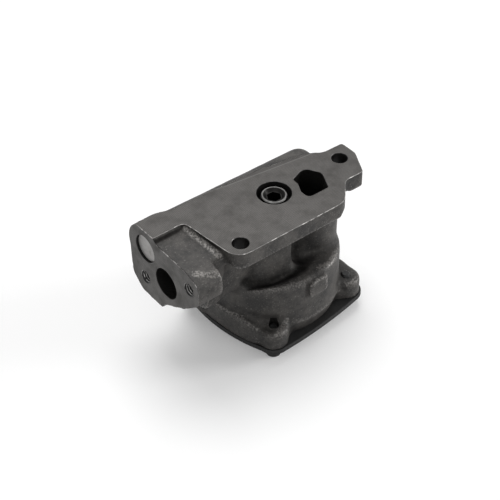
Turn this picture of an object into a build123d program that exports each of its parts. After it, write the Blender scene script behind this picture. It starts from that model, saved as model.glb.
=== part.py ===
from build123d import *
import math
import os

os.makedirs("parts", exist_ok=True)

# All lengths are in millimetres. The origin is on the drive shaft's axis, in the plane of the machined
# mounting face. Z points up out of that face, X along the flange away from the pickup face, and Y towards
# the relief valve.

# Mounting flange
flange_thickness = 11.4
flange_front_y = -32.6
flange_far_x = 63.4
flange_left_x = -57.1
machined_back_y = 21.2
mount_hole_radius = 5.16
mount_hole_near = (-43.6, -22.9)
mount_hole_far = (52.3, 0.9)
near_corner_radius = 10.0
flange_edge_round = 1.2

# Drive shaft and its bearing bore
shaft_radius = 7.94
shaft_top_drop = 1.4
shaft_running_clearance = 0.04
shaft_counterbore_radius = 10.7
shaft_counterbore_depth = 8.0
drive_hex_across_flats = 7.94
drive_hex_depth = 14.0
drive_mouth_radius = 6.4
drive_mouth_depth = 1.6
shaft_end_chamfer = 0.5

# Rotor set: the inner rotor has one lobe fewer than the outer one
inner_lobes = 4
eccentricity = 3.0
eccentric_direction = 45.0
lobe_pitch_radius = 33.0
lobe_radius = 13.0
lobe_clearance = 0.05
arcs_per_lobe = 8
rotor_height = 25.4
outer_rotor_wall = 5.7
outer_rotor_clearance = 0.05
rotor_end_clearance = 0.05
port_outer_radius = 25.0
port_inner_radius = 14.5
port_land_half = 7.0
port_reach = 22.0
port_depth = 5.0
rotor_pin_radius = 2.38
rotor_pin_length = 25.0
rotor_pin_clearance = 0.03

# Rotor body and its shoulder
cover_seat_z = -80.4
shoulder_z = -40.5
shoulder_slope_x = -14.0
shoulder_slope = 12.7
body_wall = 8.8
inlet_bulge = 3.4
shoulder_round = 3.5

# Cover, its screws and their ears, on a square that is turned a little about Z
screw_square_side = 63.8
base_turn = 5.9
ear_radius = 9.8
ear_height = 12.0
ear_edge_round = 2.6
ear_run = 16.0
wall_height = 15.6
wall_ramp_length = 13.0
cover_thickness = 3.2
cover_corner_radius = 10.2
cover_side_bulge = 1.5
cover_inlet_bulge = 4.8
cover_edge_chamfer = 0.4
wall_setback = 0.7
screw_radius = 3.175
screw_length = 19.05
screw_head_radius = 4.76
screw_head_height = 6.35
screw_head_chamfer = 0.4
screw_socket_across_flats = 4.76
screw_socket_depth = 3.2
screw_clearance = 0.02
screw_end_room = 1.5
cover_hole_clearance = 0.3
washer_thickness = 1.6
washer_radius = 6.2
washer_clearance = 0.2
washer_split = 1.2
washer_split_slant = 30.0

# Pickup block, with the inlet bore and the two threaded holes of the pickup tube's flange
pickup_face_x = -80.4
pickup_block_depth = 17.5
inlet_y = 0.25
inlet_z = -27.2
inlet_radius = 10.12
inlet_end_x = -21.0
inlet_drop_length = 12.0
pickup_thread_near = (-22.05, -15.6)
pickup_thread_far = (21.25, -36.7)
pickup_thread_radius = 3.3
pickup_thread_depth = 14.5
pickup_thread_mouth_radius = 4.4
block_roof_z = -2.9
duct_notch_y = 12.0
web_front_y = -21.5
web_end_x = -53.0
duct_front_y = -16.0
rib_height = 34.0
duct_back_y = 30.0
duct_bottom_z = -50.0
duct_round = 8.0

# Relief valve, which lies along X behind the shaft
relief_y = 20.1
relief_z = -14.0
relief_boss_radius = 13.4
relief_boss_draft = 1.0
relief_boss_end_x = 46.0
relief_boss_end_round = 7.5
plug_pad_radius = 15.9
plug_pad_length = 14.4
plug_pad_ramp = 9.0
plug_radius = 9.1
plug_recess = 1.7
plug_thickness = 7.0
plug_wall = 1.8
plug_press = 0.02
plug_rim_round = 0.6
plunger_radius = 7.94
plunger_clearance = 0.04
plunger_length = 24.0
plunger_wall = 2.0
plunger_nose_chamfer = 1.2
plunger_seat_x = -15.0
plunger_seat_gap = 0.1
relief_travel = 10.5
relief_gallery_radius = 5.5
relief_gallery_end_x = 22.0
relief_port_radius = 3.5
relief_port_lag = 0.9
relief_feed_radius = 4.5
spring_radius = 4.6
spring_wire_radius = 0.9
spring_wire_sides = 8
spring_turns = 8
spring_gap = 0.15

# Neck between the flange and the rotor body, and the outlet column beside it
neck_front_y = -23.6
neck_left_x = -34.0
neck_right_x = -3.2
neck_back_y = 24.0
neck_corner_radius = 9.0
neck_sink = 4.0
neck_valley_round = 2.5
shaft_core_radius = 14.5
column_centre = (23.0, -6.0)
column_radius = 17.3

# Small casting lug on the shoulder
lug_x = 4.0
lug_width = 12.4
lug_height = 12.0
lug_drop = 1.2
lug_proud = 2.6
lug_round = 2.5
lug_edge_round = 1.0


def corner_outline(corners):
    """Closed outline through corners (x, y, radius), each rounded by its own radius."""
    points = [(x, y) for x, y, radius in corners]
    radii = [radius for x, y, radius in corners]
    FilletPolyline(*points, radius=radii, close=True)


def is_valley(vertex):
    """True for the corners of the neck's plan where two of its shapes run into each other."""
    on_circle = [
        abs(math.hypot(vertex.X - x, vertex.Y - y) - radius) < 0.001
        for x, y, radius in ((0, 0, shaft_core_radius), (*column_centre, column_radius))
    ]
    return any(on_circle)


def is_shoulder_rim(edge):
    """True for the edges round the top of the rotor body, which are neither at its seat nor upright."""
    upright = abs((edge % 0.5).Z) > 0.9
    return (edge @ 0.5).Z > cover_seat_z + ear_height and not upright


eccentric_angle = math.radians(eccentric_direction)
rotor_x = eccentricity * math.cos(eccentric_angle)
rotor_y = eccentricity * math.sin(eccentric_angle)
rotor_plane = Plane(origin=(rotor_x, rotor_y, 0))
base_plane = rotor_plane.rotated((0, 0, base_turn))
screw_half = screw_square_side / 2
screw_reach = screw_length - washer_thickness - cover_thickness
screw_corners = [
    (-screw_half, -screw_half),
    (screw_half, -screw_half),
    (screw_half, screw_half),
    (-screw_half, screw_half),
]

body_top = shoulder_z - cover_seat_z
neck_height = -flange_thickness - shoulder_z
shaft_bore_radius = shaft_radius + shaft_running_clearance
lobe_root_radius = lobe_pitch_radius - lobe_radius + 2 * eccentricity + lobe_clearance
outer_rotor_radius = lobe_root_radius + outer_rotor_wall
cavity_radius = outer_rotor_radius + outer_rotor_clearance
body_radius = cavity_radius + body_wall
cavity_depth = rotor_height + 2 * rotor_end_clearance
cavity_roof_z = cover_seat_z + cavity_depth
rotor_bottom_z = cover_seat_z + rotor_end_clearance
rotor_top_z = rotor_bottom_z + rotor_height
plunger_bore_radius = plunger_radius + plunger_clearance
ear_top_z = cover_seat_z + ear_height
shoulder_plane = Plane(origin=(shoulder_slope_x, 0, shoulder_z)).rotated((0, -shoulder_slope, 0))
base_side_plane = Plane(origin=base_plane.origin, x_dir=base_plane.y_dir, z_dir=base_plane.x_dir)
wall_inner_reach = screw_half - ear_radius / 2

flange_corners = [
    (pickup_face_x, duct_notch_y, 0),
    (flange_left_x - 1.0, duct_notch_y, 3.5),
    (flange_left_x + 4.0, flange_front_y, near_corner_radius),
    (27.6, flange_front_y, 11),
    (40.6, -17.7, 3.5),
    (54.9, -17.9, 1.5),
    (flange_far_x, -1.2, 6),
    (flange_far_x, 11.2, 1.2),
    (47.6, 11.5, 5),
    (43.4, 15.2, 4),
    (27.9, 17.8, 20),
    (2.6, machined_back_y, 40),
    (pickup_face_x, machined_back_y, 0),
]
block_corners = [
    (duct_notch_y, block_roof_z, 0),
    (-17.0, block_roof_z - 1.0, 12),
    (-31.4, block_roof_z - 4.2, 8),
    (-32.2, -21.5, 9),
    (-17.0, -34.4, 14),
    (2.5, -45.4, 1.5),
    (4.6, -49.2, 1.0),
    (24.5, -49.2, 10),
    (34.0, -40.5, 7),
    (35.4, relief_z, 0),
    (relief_y, relief_z, 0),
]
web_corners = [
    (duct_notch_y, block_roof_z, 0),
    (-17.0, block_roof_z - 1.0, 6),
    (web_front_y, block_roof_z - 2.4, 1.5),
    (web_front_y, inlet_z, 0),
    (duct_notch_y, inlet_z, 0),
]
duct_corners = [
    (duct_front_y, relief_z + 5, 0),
    (duct_front_y, duct_bottom_z, duct_round),
    (duct_back_y, duct_bottom_z, duct_round),
    (duct_back_y, relief_z, 0),
]
neck_corners = [
    (neck_left_x, neck_front_y, 19),
    (neck_right_x, neck_front_y, 1.5),
    (neck_right_x + 2, neck_back_y, 0),
    (neck_left_x, neck_back_y, 6),
]
relief_axis = Axis((0, relief_y, relief_z), (1, 0, 0))
relief_plane = Plane(origin=(0, relief_y, relief_z), x_dir=(1, 0, 0), z_dir=(0, -1, 0))
relief_profile = [
    (pickup_face_x, 0, 0),
    (relief_boss_end_x, 0, 0),
    (relief_boss_end_x, relief_boss_radius, relief_boss_end_round),
    (pickup_face_x + plug_pad_length + plug_pad_ramp, relief_boss_radius + relief_boss_draft, 4),
    (pickup_face_x + plug_pad_length, plug_pad_radius, 4),
    (pickup_face_x, plug_pad_radius, 0),
]
rib_corners = [
    (-45.5, 12.2, 1.0),
    (-30.0, 12.2, 0),
    (-30.0, 34.0, 0),
    (-47.5, 34.0, 3.0),
]


cover_bottom_z = cover_seat_z - cover_thickness
port_plane = Plane(origin=(rotor_x, rotor_y, 0), x_dir=(math.sin(eccentric_angle), -math.cos(eccentric_angle), 0))
mesh_plane = Plane(origin=(0, 0, 0), x_dir=(math.cos(eccentric_angle), math.sin(eccentric_angle), 0))
outer_mesh_plane = Plane(origin=(rotor_x, rotor_y, 0), x_dir=mesh_plane.x_dir)
lug_front_span = (rotor_y - body_radius - lug_proud - 0.1, rotor_y - body_radius - lug_proud + 0.1)
plug_seat_x = pickup_face_x + plug_recess + plug_thickness
pin_plane = Plane(origin=(0, 0, rotor_top_z - rotor_pin_radius - rotor_pin_clearance), z_dir=(1, 0, 0))
plunger_nose_x = plunger_seat_x - plunger_seat_gap
plunger_back_x = plunger_nose_x - plunger_length
spring_front_x = plunger_nose_x - 2 * plunger_wall
spring_back_x = pickup_face_x + plug_recess + plug_wall
spring_length = spring_front_x - spring_back_x - 2 * spring_gap - 2 * spring_wire_radius
plug_profile = [
    (pickup_face_x + plug_recess, 0, 0),
    (spring_back_x, 0, 0),
    (spring_back_x, plunger_bore_radius - plug_wall, 0),
    (plug_seat_x, plunger_bore_radius - plug_wall, 0),
    (plug_seat_x, plug_radius + plug_press, 0),
    (pickup_face_x + plug_recess, plug_radius + plug_press, plug_rim_round),
]
# The return port leaves the relief bore where the plunger's nose is at full travel, square to the bore's
# axis, and runs straight to the inlet bore's axis
relief_port_x = plunger_nose_x - relief_travel - relief_port_lag
return_plane = Plane(
    origin=(relief_port_x, relief_y, relief_z),
    z_dir=(0, inlet_y - relief_y, inlet_z - relief_z),
)
return_length = math.hypot(inlet_y - relief_y, inlet_z - relief_z)


def body_outline():
    """Outline of the rotor body: a circle about the rotors, stretched towards the inlet side."""
    Circle(body_radius)
    with Locations((-inlet_bulge, 0)):
        Circle(body_radius)
    make_hull()


def port_outline(side):
    """Kidney port in the chamber's roof, on one side of the line through both rotor axes."""
    Circle(port_outer_radius)
    Circle(port_inner_radius, mode=Mode.SUBTRACT)
    with Locations((side * port_outer_radius, 0)):
        Rectangle(
            2 * (port_outer_radius - port_land_half),
            2 * port_reach,
            mode=Mode.INTERSECT,
        )


def cover_curve(setback):
    """Rounded square of the cover: a corner arc about each screw, joined by side arcs that bulge outwards."""
    reach = screw_half + cover_corner_radius - setback
    diagonal = screw_half + (cover_corner_radius - setback) * math.sqrt(0.5)
    bulges = [cover_side_bulge, cover_side_bulge, cover_side_bulge, cover_inlet_bulge]
    for quarter, bulge in enumerate(bulges):
        start = Vector(-screw_half, -reach).rotate(Axis.Z, 90 * quarter)
        middle = Vector(0, -reach - bulge).rotate(Axis.Z, 90 * quarter)
        end = Vector(screw_half, -reach).rotate(Axis.Z, 90 * quarter)
        corner = Vector(diagonal, -diagonal).rotate(Axis.Z, 90 * quarter)
        corner_end = Vector(reach, -screw_half).rotate(Axis.Z, 90 * quarter)
        ThreePointArc(start, middle, end)
        ThreePointArc(end, corner, corner_end)


def outlet_curve():
    """D-shaped outlet port: round towards the shaft, with a straight side near the flange's front edge."""
    corner_outline(
        [
            (13.2, -16.1, 3.2),
            (28.6, -16.1, 0.8),
            (34.6, -3.4, 5.0),
            (28.8, 7.2, 5.5),
            (16.6, 2.6, 2.2),
            (16.6, -2.2, 5.0),
            (13.2, -9.2, 4.0),
        ]
    )


# Wall along the inlet side of the base: it rises from the front ear and meets the pickup block's rib
with BuildPart() as inlet_wall:
    with BuildSketch(base_plane.offset(cover_seat_z)):
        with BuildLine():
            cover_curve(wall_setback)
        make_face()
    extrude(amount=wall_height)
    with BuildSketch(base_side_plane.offset(-wall_inner_reach)):
        with BuildLine():
            Polyline(
                (-screw_half, cover_seat_z),
                (-screw_half, ear_top_z - ear_edge_round / 2),
                (-screw_half + wall_ramp_length, cover_seat_z + wall_height),
                (screw_half, cover_seat_z + wall_height),
                (screw_half, cover_seat_z),
                close=True,
            )
        make_face()
    extrude(amount=-screw_square_side, mode=Mode.INTERSECT)
    outer_edges = inlet_wall.faces().filter_by(Axis.Z).sort_by(Axis.Z)[-1].edges()
    fillet(outer_edges.sort_by(lambda edge: base_plane.to_local_coords(edge).center().X)[0], ear_edge_round)

# Rotor body with a shoulder that falls all the way towards the inlet
with BuildPart() as sloped_body:
    with BuildSketch(base_plane.offset(cover_seat_z)):
        body_outline()
    extrude(amount=2 * body_top)
    split(bisect_by=shoulder_plane, keep=Keep.BOTTOM)
    fillet(sloped_body.edges().filter_by(is_shoulder_rim), shoulder_round)

# Rotor body: its rounded shoulder is level beside the outlet column and falls away towards the inlet
with BuildPart() as rotor_body:
    with BuildSketch(base_plane.offset(cover_seat_z)):
        body_outline()
    extrude(amount=body_top)
    fillet(rotor_body.edges().filter_by(is_shoulder_rim), shoulder_round)
    add(sloped_body.part, mode=Mode.INTERSECT)

# One casting: flange, pickup block, relief boss, neck, outlet column, rotor body, ears and cover wall
with BuildPart() as housing:
    # Screw ears, and the straight wall that joins the two on the far side
    with BuildSketch(base_plane.offset(cover_seat_z)):
        for corner_x, corner_y in screw_corners:
            towards_body = math.atan2(-corner_y, -corner_x)
            ear_middle = (
                corner_x + ear_run / 2 * math.cos(towards_body),
                corner_y + ear_run / 2 * math.sin(towards_body),
            )
            with Locations(ear_middle):
                SlotCenterToCenter(ear_run, 2 * ear_radius, rotation=math.degrees(towards_body))
        with Locations((screw_half, 0)):
            Rectangle(2 * ear_radius, screw_square_side)
    extrude(amount=ear_height)
    fillet(housing.faces().group_by(Axis.Z)[-1].edges(), ear_edge_round)
    add(inlet_wall.part)

    add(rotor_body.part)

    # Lug on the side of the body, just under the shoulder
    lug_front_y = rotor_y - body_radius - lug_proud
    with BuildSketch(Plane.XZ.offset(-lug_front_y)):
        with Locations((lug_x, shoulder_z - lug_drop - lug_height / 2)):
            RectangleRounded(lug_width, lug_height, lug_round)
    extrude(amount=-lug_width)
    fillet(housing.faces().filter_by(Axis.Y).filter_by_position(Axis.Y, *lug_front_span).edges(), lug_edge_round)

    # Rib under the pickup block
    with BuildSketch(Plane.XY.offset(cover_seat_z)):
        with BuildLine():
            corner_outline(rib_corners)
        make_face()
    extrude(amount=rib_height)

    # Neck, the core round the shaft and the outlet column
    with BuildSketch(Plane.XY.offset(shoulder_z - neck_sink)) as neck_plan:
        with BuildLine():
            corner_outline(neck_corners)
        make_face()
        Circle(shaft_core_radius)
        with Locations(column_centre):
            Circle(column_radius)
        fillet(neck_plan.vertices().filter_by(is_valley), neck_valley_round)
    extrude(amount=neck_height + neck_sink)

    # Mounting flange
    with BuildSketch(Plane.XY.offset(-flange_thickness)):
        with BuildLine():
            corner_outline(flange_corners)
        make_face()
    extrude(amount=flange_thickness)

    # Relief boss with its rounded end, and the thicker pad round its plug
    with BuildSketch(relief_plane):
        with BuildLine():
            corner_outline(relief_profile)
        make_face()
    revolve(axis=relief_axis)

    # Pickup block, the web that joins its roof to the flange, and the duct behind it
    with BuildSketch(Plane.YZ.offset(pickup_face_x)):
        with BuildLine():
            corner_outline(block_corners)
        make_face()
    extrude(amount=pickup_block_depth)
    with BuildSketch(Plane.YZ.offset(pickup_face_x + pickup_block_depth)):
        with BuildLine():
            corner_outline(web_corners)
        make_face()
    extrude(amount=web_end_x - pickup_face_x - pickup_block_depth)
    with BuildSketch(Plane.YZ.offset(pickup_face_x + pickup_block_depth)):
        with BuildLine():
            corner_outline(duct_corners)
        make_face()
    extrude(amount=neck_left_x + neck_corner_radius - pickup_face_x - pickup_block_depth)

    # Machined face: nothing stands above it
    with BuildSketch(Plane.XY):
        Rectangle(4 * flange_far_x, 4 * flange_far_x)
    extrude(amount=plug_pad_radius, mode=Mode.SUBTRACT)

    # Counterbore and bearing bore of the shaft
    with BuildSketch(Plane.XY):
        Circle(shaft_counterbore_radius)
    extrude(amount=-shaft_counterbore_depth, mode=Mode.SUBTRACT)
    with BuildSketch(Plane.XY):
        Circle(shaft_bore_radius)
    extrude(amount=cover_seat_z, mode=Mode.SUBTRACT)

    # Rotor chamber, with its inlet and outlet ports in the roof
    with BuildSketch(rotor_plane.offset(cover_seat_z)):
        Circle(cavity_radius)
    extrude(amount=cavity_depth, mode=Mode.SUBTRACT)
    for side in (1, -1):
        with BuildSketch(port_plane.offset(cavity_roof_z)):
            port_outline(side)
        extrude(amount=port_depth, mode=Mode.SUBTRACT)

    # Outlet passage from the mounting face down to its port
    with BuildSketch(Plane.XY):
        with BuildLine():
            outlet_curve()
        make_face()
    extrude(amount=cavity_roof_z, mode=Mode.SUBTRACT)

    # Inlet bore from the pickup face, and the drop down to the inlet port
    with BuildSketch(Plane.YZ.offset(pickup_face_x)):
        with Locations((inlet_y, inlet_z)):
            Circle(inlet_radius)
    extrude(amount=inlet_end_x - pickup_face_x, mode=Mode.SUBTRACT)
    with BuildSketch(Plane.XY.offset(cavity_roof_z)):
        with Locations((inlet_end_x - inlet_drop_length / 2, inlet_y)):
            RectangleRounded(inlet_drop_length, inlet_radius * 1.5, 3)
    extrude(amount=inlet_z - cavity_roof_z, mode=Mode.SUBTRACT)

    # Relief bore with its mouth for the plug, the gallery ahead of the plunger, the feed and the return port
    with BuildSketch(relief_plane):
        with BuildLine():
            Polyline(
                (pickup_face_x, 0),
                (relief_gallery_end_x, 0),
                (relief_gallery_end_x, relief_gallery_radius),
                (plunger_seat_x, relief_gallery_radius),
                (plunger_seat_x, plunger_bore_radius),
                (plug_seat_x, plunger_bore_radius),
                (plug_seat_x, plug_radius),
                (pickup_face_x, plug_radius),
                close=True,
            )
        make_face()
    revolve(axis=relief_axis, mode=Mode.SUBTRACT)
    with BuildSketch(Plane.XZ.offset(-relief_y)):
        with Locations((column_centre[0] - relief_feed_radius, relief_z)):
            Circle(relief_feed_radius)
    extrude(amount=relief_y, mode=Mode.SUBTRACT)
    with BuildSketch(return_plane):
        Circle(relief_port_radius)
    extrude(amount=return_length, mode=Mode.SUBTRACT)

    # Mounting holes
    with BuildSketch(Plane.XY):
        with Locations(mount_hole_near, mount_hole_far):
            Circle(mount_hole_radius)
    extrude(amount=-flange_thickness - flange_edge_round, mode=Mode.SUBTRACT)

    # Threaded holes of the pickup face, each with a countersunk mouth
    for hole_y, hole_z in (pickup_thread_near, pickup_thread_far):
        with Locations(Plane(origin=(pickup_face_x, hole_y, hole_z), z_dir=(-1, 0, 0))):
            CounterSinkHole(
                pickup_thread_radius,
                pickup_thread_mouth_radius,
                depth=pickup_thread_depth,
                counter_sink_angle=90,
            )

    # Screw holes through the ears
    with BuildSketch(base_plane.offset(cover_seat_z)):
        with Locations(*screw_corners):
            Circle(screw_radius + screw_clearance)
    extrude(amount=screw_reach + screw_end_room, mode=Mode.SUBTRACT)

housing.part.label = "housing"
export_step(housing.part, "parts/housing.step")


# Cover plate with its four screw holes
with BuildPart() as cover_plate:
    with BuildSketch(base_plane.offset(cover_bottom_z)):
        with BuildLine():
            cover_curve(0)
        make_face()
        with Locations(*screw_corners):
            Circle(screw_radius + cover_hole_clearance, mode=Mode.SUBTRACT)
    extrude(amount=cover_thickness)
    rims = cover_plate.edges().filter_by(lambda edge: edge.length > 2 * math.pi * screw_radius * 1.5)
    chamfer(rims.filter_by(GeomType.CIRCLE), cover_edge_chamfer)

cover_plate.part.label = "cover_plate"
export_step(cover_plate.part, "parts/cover_plate.step")


# Split washer: a flat ring with a slanted cut
def lock_washer(corner, turn):
    """Lock washer under one screw head, with its split turned to its own side."""
    with BuildPart() as washer:
        with BuildSketch(base_plane.offset(cover_bottom_z - washer_thickness)):
            with Locations(corner):
                Circle(washer_radius)
                Circle(screw_radius + washer_clearance, mode=Mode.SUBTRACT)
        extrude(amount=washer_thickness)
        split_plane = base_plane.offset(cover_bottom_z - washer_thickness / 2)
        with Locations(split_plane.location * Location((corner[0], corner[1], 0), (0, 0, turn))):
            with Locations(Location((washer_radius, 0, 0), (washer_split_slant, 0, 0))):
                Box(2 * washer_radius, washer_split, 4 * washer_thickness, mode=Mode.SUBTRACT)
    return washer.part


# Socket-head cap screw, head down
def cover_screw(corner):
    """One cover screw: chamfered head with a hexagon socket, and a plain shank at the thread's outer size."""
    head_top_z = cover_bottom_z - washer_thickness
    head_bottom_z = head_top_z - screw_head_height
    with BuildPart() as screw:
        with BuildSketch(base_plane.offset(head_bottom_z)):
            with Locations(corner):
                Circle(screw_head_radius)
        extrude(amount=screw_head_height)
        chamfer(screw.faces().sort_by(Axis.Z)[0].edges(), screw_head_chamfer)
        with BuildSketch(base_plane.offset(head_top_z)):
            with Locations(corner):
                Circle(screw_radius)
        extrude(amount=screw_length)
        chamfer(screw.faces().sort_by(Axis.Z)[-1].edges(), screw_head_chamfer)
        with BuildSketch(base_plane.offset(head_bottom_z)):
            with Locations(corner):
                RegularPolygon(screw_socket_across_flats / 2, 6, major_radius=False)
        extrude(amount=screw_socket_depth, mode=Mode.SUBTRACT)
    return screw.part


for number, corner in enumerate(screw_corners, start=1):
    washer_part = lock_washer(corner, 70 * number)
    washer_part.label = f"lock_washer_{number}"
    export_step(washer_part, f"parts/lock_washer_{number}.step")
    screw_part = cover_screw(corner)
    screw_part.label = f"cover_screw_{number}"
    export_step(screw_part, f"parts/cover_screw_{number}.step")


# Drive shaft with the hexagon socket at its top and the cross hole of the rotor pin
with BuildPart() as drive_shaft:
    with BuildSketch(Plane.XY.offset(rotor_bottom_z)):
        Circle(shaft_radius)
    extrude(amount=-shaft_top_drop - rotor_bottom_z)
    chamfer(drive_shaft.faces().filter_by(Axis.Z).edges(), shaft_end_chamfer)
    with BuildSketch(Plane.XY.offset(-shaft_top_drop)):
        RegularPolygon(drive_hex_across_flats / 2, 6, major_radius=False)
    extrude(amount=-drive_hex_depth, mode=Mode.SUBTRACT)
    with BuildSketch(Plane.XY.offset(-shaft_top_drop)):
        Circle(drive_mouth_radius)
    extrude(amount=-drive_mouth_depth, taper=45, mode=Mode.SUBTRACT)
    with BuildSketch(pin_plane):
        Circle(rotor_pin_radius)
    extrude(amount=shaft_radius * 2, both=True, mode=Mode.SUBTRACT)

drive_shaft.part.label = "drive_shaft"
export_step(drive_shaft.part, "parts/drive_shaft.step")


# Cross pin, which lies in the inner rotor's slot
with BuildPart() as rotor_pin:
    with BuildSketch(pin_plane):
        Circle(rotor_pin_radius)
    extrude(amount=rotor_pin_length / 2, both=True)
    chamfer(rotor_pin.faces().filter_by(GeomType.PLANE).edges(), rotor_pin_clearance * 10)

rotor_pin.part.label = "rotor_pin"
export_step(rotor_pin.part, "parts/rotor_pin.step")


def inner_rotor_point(angle):
    """Point of the inner rotor's outline: a trochoid of the lobe centres, moved in by the lobe radius."""
    turns = inner_lobes + 1
    centre = Vector(
        lobe_pitch_radius * math.cos(angle) + eccentricity * math.cos(turns * angle),
        lobe_pitch_radius * math.sin(angle) + eccentricity * math.sin(turns * angle),
    )
    tangent = Vector(
        -lobe_pitch_radius * math.sin(angle) - turns * eccentricity * math.sin(turns * angle),
        lobe_pitch_radius * math.cos(angle) + turns * eccentricity * math.cos(turns * angle),
    )
    inward = tangent.rotate(Axis.Z, 90).normalized()
    return centre + inward * (lobe_radius + lobe_clearance)


# Inner rotor: four lobes, a bore for the shaft and the pin's slot across its top
with BuildPart() as inner_rotor:
    with BuildSketch(mesh_plane.offset(rotor_bottom_z)):
        with BuildLine():
            arcs = arcs_per_lobe * inner_lobes
            turn = 2 * math.pi / arcs
            for arc in range(arcs):
                ThreePointArc(*(inner_rotor_point(turn * (arc + share)) for share in (0, 0.5, 1)))
        make_face()
        Circle(shaft_radius, mode=Mode.SUBTRACT)
    extrude(amount=rotor_height)
    with BuildSketch(Plane.XY.offset(rotor_top_z)):
        Rectangle(rotor_pin_length + rotor_pin_clearance * 10, 2 * (rotor_pin_radius + rotor_pin_clearance))
    extrude(amount=-2 * (rotor_pin_radius + rotor_pin_clearance), mode=Mode.SUBTRACT)

inner_rotor.part.label = "inner_rotor"
export_step(inner_rotor.part, "parts/inner_rotor.step")


# Outer rotor: a ring whose inside has five round lobes
with BuildPart() as outer_rotor:
    with BuildSketch(outer_mesh_plane.offset(rotor_bottom_z)):
        Circle(outer_rotor_radius)
        Circle(lobe_root_radius, mode=Mode.SUBTRACT)
        with PolarLocations(lobe_pitch_radius, inner_lobes + 1):
            Circle(lobe_radius)
        Circle(outer_rotor_radius, mode=Mode.INTERSECT)
    extrude(amount=rotor_height)

outer_rotor.part.label = "outer_rotor"
export_step(outer_rotor.part, "parts/outer_rotor.step")


# Relief plunger: a cup whose closed nose faces the gallery
with BuildPart() as relief_plunger:
    with BuildSketch(relief_plane):
        with BuildLine():
            Polyline(
                (plunger_nose_x, 0),
                (plunger_nose_x, plunger_radius - plunger_nose_chamfer),
                (plunger_nose_x - plunger_nose_chamfer, plunger_radius),
                (plunger_back_x, plunger_radius),
                (plunger_back_x, plunger_radius - plunger_wall),
                (spring_front_x, plunger_radius - plunger_wall),
                (spring_front_x, 0),
                close=True,
            )
        make_face()
    revolve(axis=relief_axis)

relief_plunger.part.label = "relief_plunger"
export_step(relief_plunger.part, "parts/relief_plunger.step")


# Relief spring, a plain helix between the plunger's cup and the plug
with BuildPart() as relief_spring:
    with BuildLine() as coil:
        Helix(
            spring_length / spring_turns,
            spring_length,
            spring_radius,
            center=(spring_front_x - spring_gap - spring_wire_radius, relief_y, relief_z),
            direction=(-1, 0, 0),
        )
    with BuildSketch(Plane(coil.line @ 0, z_dir=coil.line % 0)):
        RegularPolygon(spring_wire_radius, spring_wire_sides)
    sweep()

relief_spring.part.label = "relief_spring"
export_step(relief_spring.part, "parts/relief_spring.step")


# Plug: a cup pressed into the bore's mouth, closed side out
with BuildPart() as relief_plug:
    with BuildSketch(relief_plane):
        with BuildLine():
            corner_outline(plug_profile)
        make_face()
    revolve(axis=relief_axis)

relief_plug.part.label = "relief_plug"
export_step(relief_plug.part, "parts/relief_plug.step")
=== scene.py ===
import math

import bmesh
import bpy
import numpy as np
from mathutils import Matrix, Vector


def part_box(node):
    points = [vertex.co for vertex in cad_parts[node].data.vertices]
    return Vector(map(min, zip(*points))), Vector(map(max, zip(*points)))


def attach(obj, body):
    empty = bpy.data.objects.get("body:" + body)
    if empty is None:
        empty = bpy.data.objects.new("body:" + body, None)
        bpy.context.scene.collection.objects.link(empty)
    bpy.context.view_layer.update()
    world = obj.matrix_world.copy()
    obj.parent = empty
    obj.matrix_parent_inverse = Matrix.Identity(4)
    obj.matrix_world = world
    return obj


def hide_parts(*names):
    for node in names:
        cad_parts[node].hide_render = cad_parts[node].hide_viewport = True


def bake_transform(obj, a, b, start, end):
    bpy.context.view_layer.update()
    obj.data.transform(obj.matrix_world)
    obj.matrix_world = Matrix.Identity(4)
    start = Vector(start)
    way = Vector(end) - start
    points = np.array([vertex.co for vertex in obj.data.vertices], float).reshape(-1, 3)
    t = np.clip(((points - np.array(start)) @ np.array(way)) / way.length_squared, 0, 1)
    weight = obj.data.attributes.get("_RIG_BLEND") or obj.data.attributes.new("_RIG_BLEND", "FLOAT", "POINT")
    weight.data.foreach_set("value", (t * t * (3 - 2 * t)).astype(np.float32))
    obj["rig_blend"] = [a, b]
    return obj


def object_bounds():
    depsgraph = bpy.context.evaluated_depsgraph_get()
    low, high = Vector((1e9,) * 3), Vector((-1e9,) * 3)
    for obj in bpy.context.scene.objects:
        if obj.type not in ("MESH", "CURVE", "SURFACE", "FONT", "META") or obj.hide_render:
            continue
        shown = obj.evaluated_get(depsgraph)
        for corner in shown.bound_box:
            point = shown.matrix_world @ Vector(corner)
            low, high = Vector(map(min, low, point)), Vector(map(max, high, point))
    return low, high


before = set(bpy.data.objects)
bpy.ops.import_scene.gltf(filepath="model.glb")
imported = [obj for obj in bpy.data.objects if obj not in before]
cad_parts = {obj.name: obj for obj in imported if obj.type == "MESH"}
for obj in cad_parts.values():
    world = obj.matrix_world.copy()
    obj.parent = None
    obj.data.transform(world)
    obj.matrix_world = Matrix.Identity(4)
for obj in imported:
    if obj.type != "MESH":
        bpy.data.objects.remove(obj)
cad_low, cad_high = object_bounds()

# Lengths below are in metres, in the frame of the solids: the drive shaft's axis is Z, the machined
# mounting face is the plane z = 0, and the pickup face looks along -X.
MM = 0.001

# Machined planes of the housing
MOUNTING_FACE_Z = 0.0
PICKUP_FACE_X = -80.4 * MM
COVER_SEAT_Z = -80.4 * MM

# Axes of the housing's bores and passages
ROTOR_AXIS = (2.1213 * MM, 2.1213 * MM)
OUTLET_AXIS = (23 * MM, -6 * MM)
INLET_AXIS = (0.25 * MM, -27.2 * MM)
RELIEF_AXIS = (20.1 * MM, -14 * MM)
MOUNT_HOLES = [(-43.6 * MM, -22.9 * MM), (52.3 * MM, 0.9 * MM)]
PICKUP_THREADS = [(-22.05 * MM, -15.6 * MM), (21.25 * MM, -36.7 * MM)]
SCREWS = ["cover_screw_1", "cover_screw_2", "cover_screw_3", "cover_screw_4"]


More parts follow.
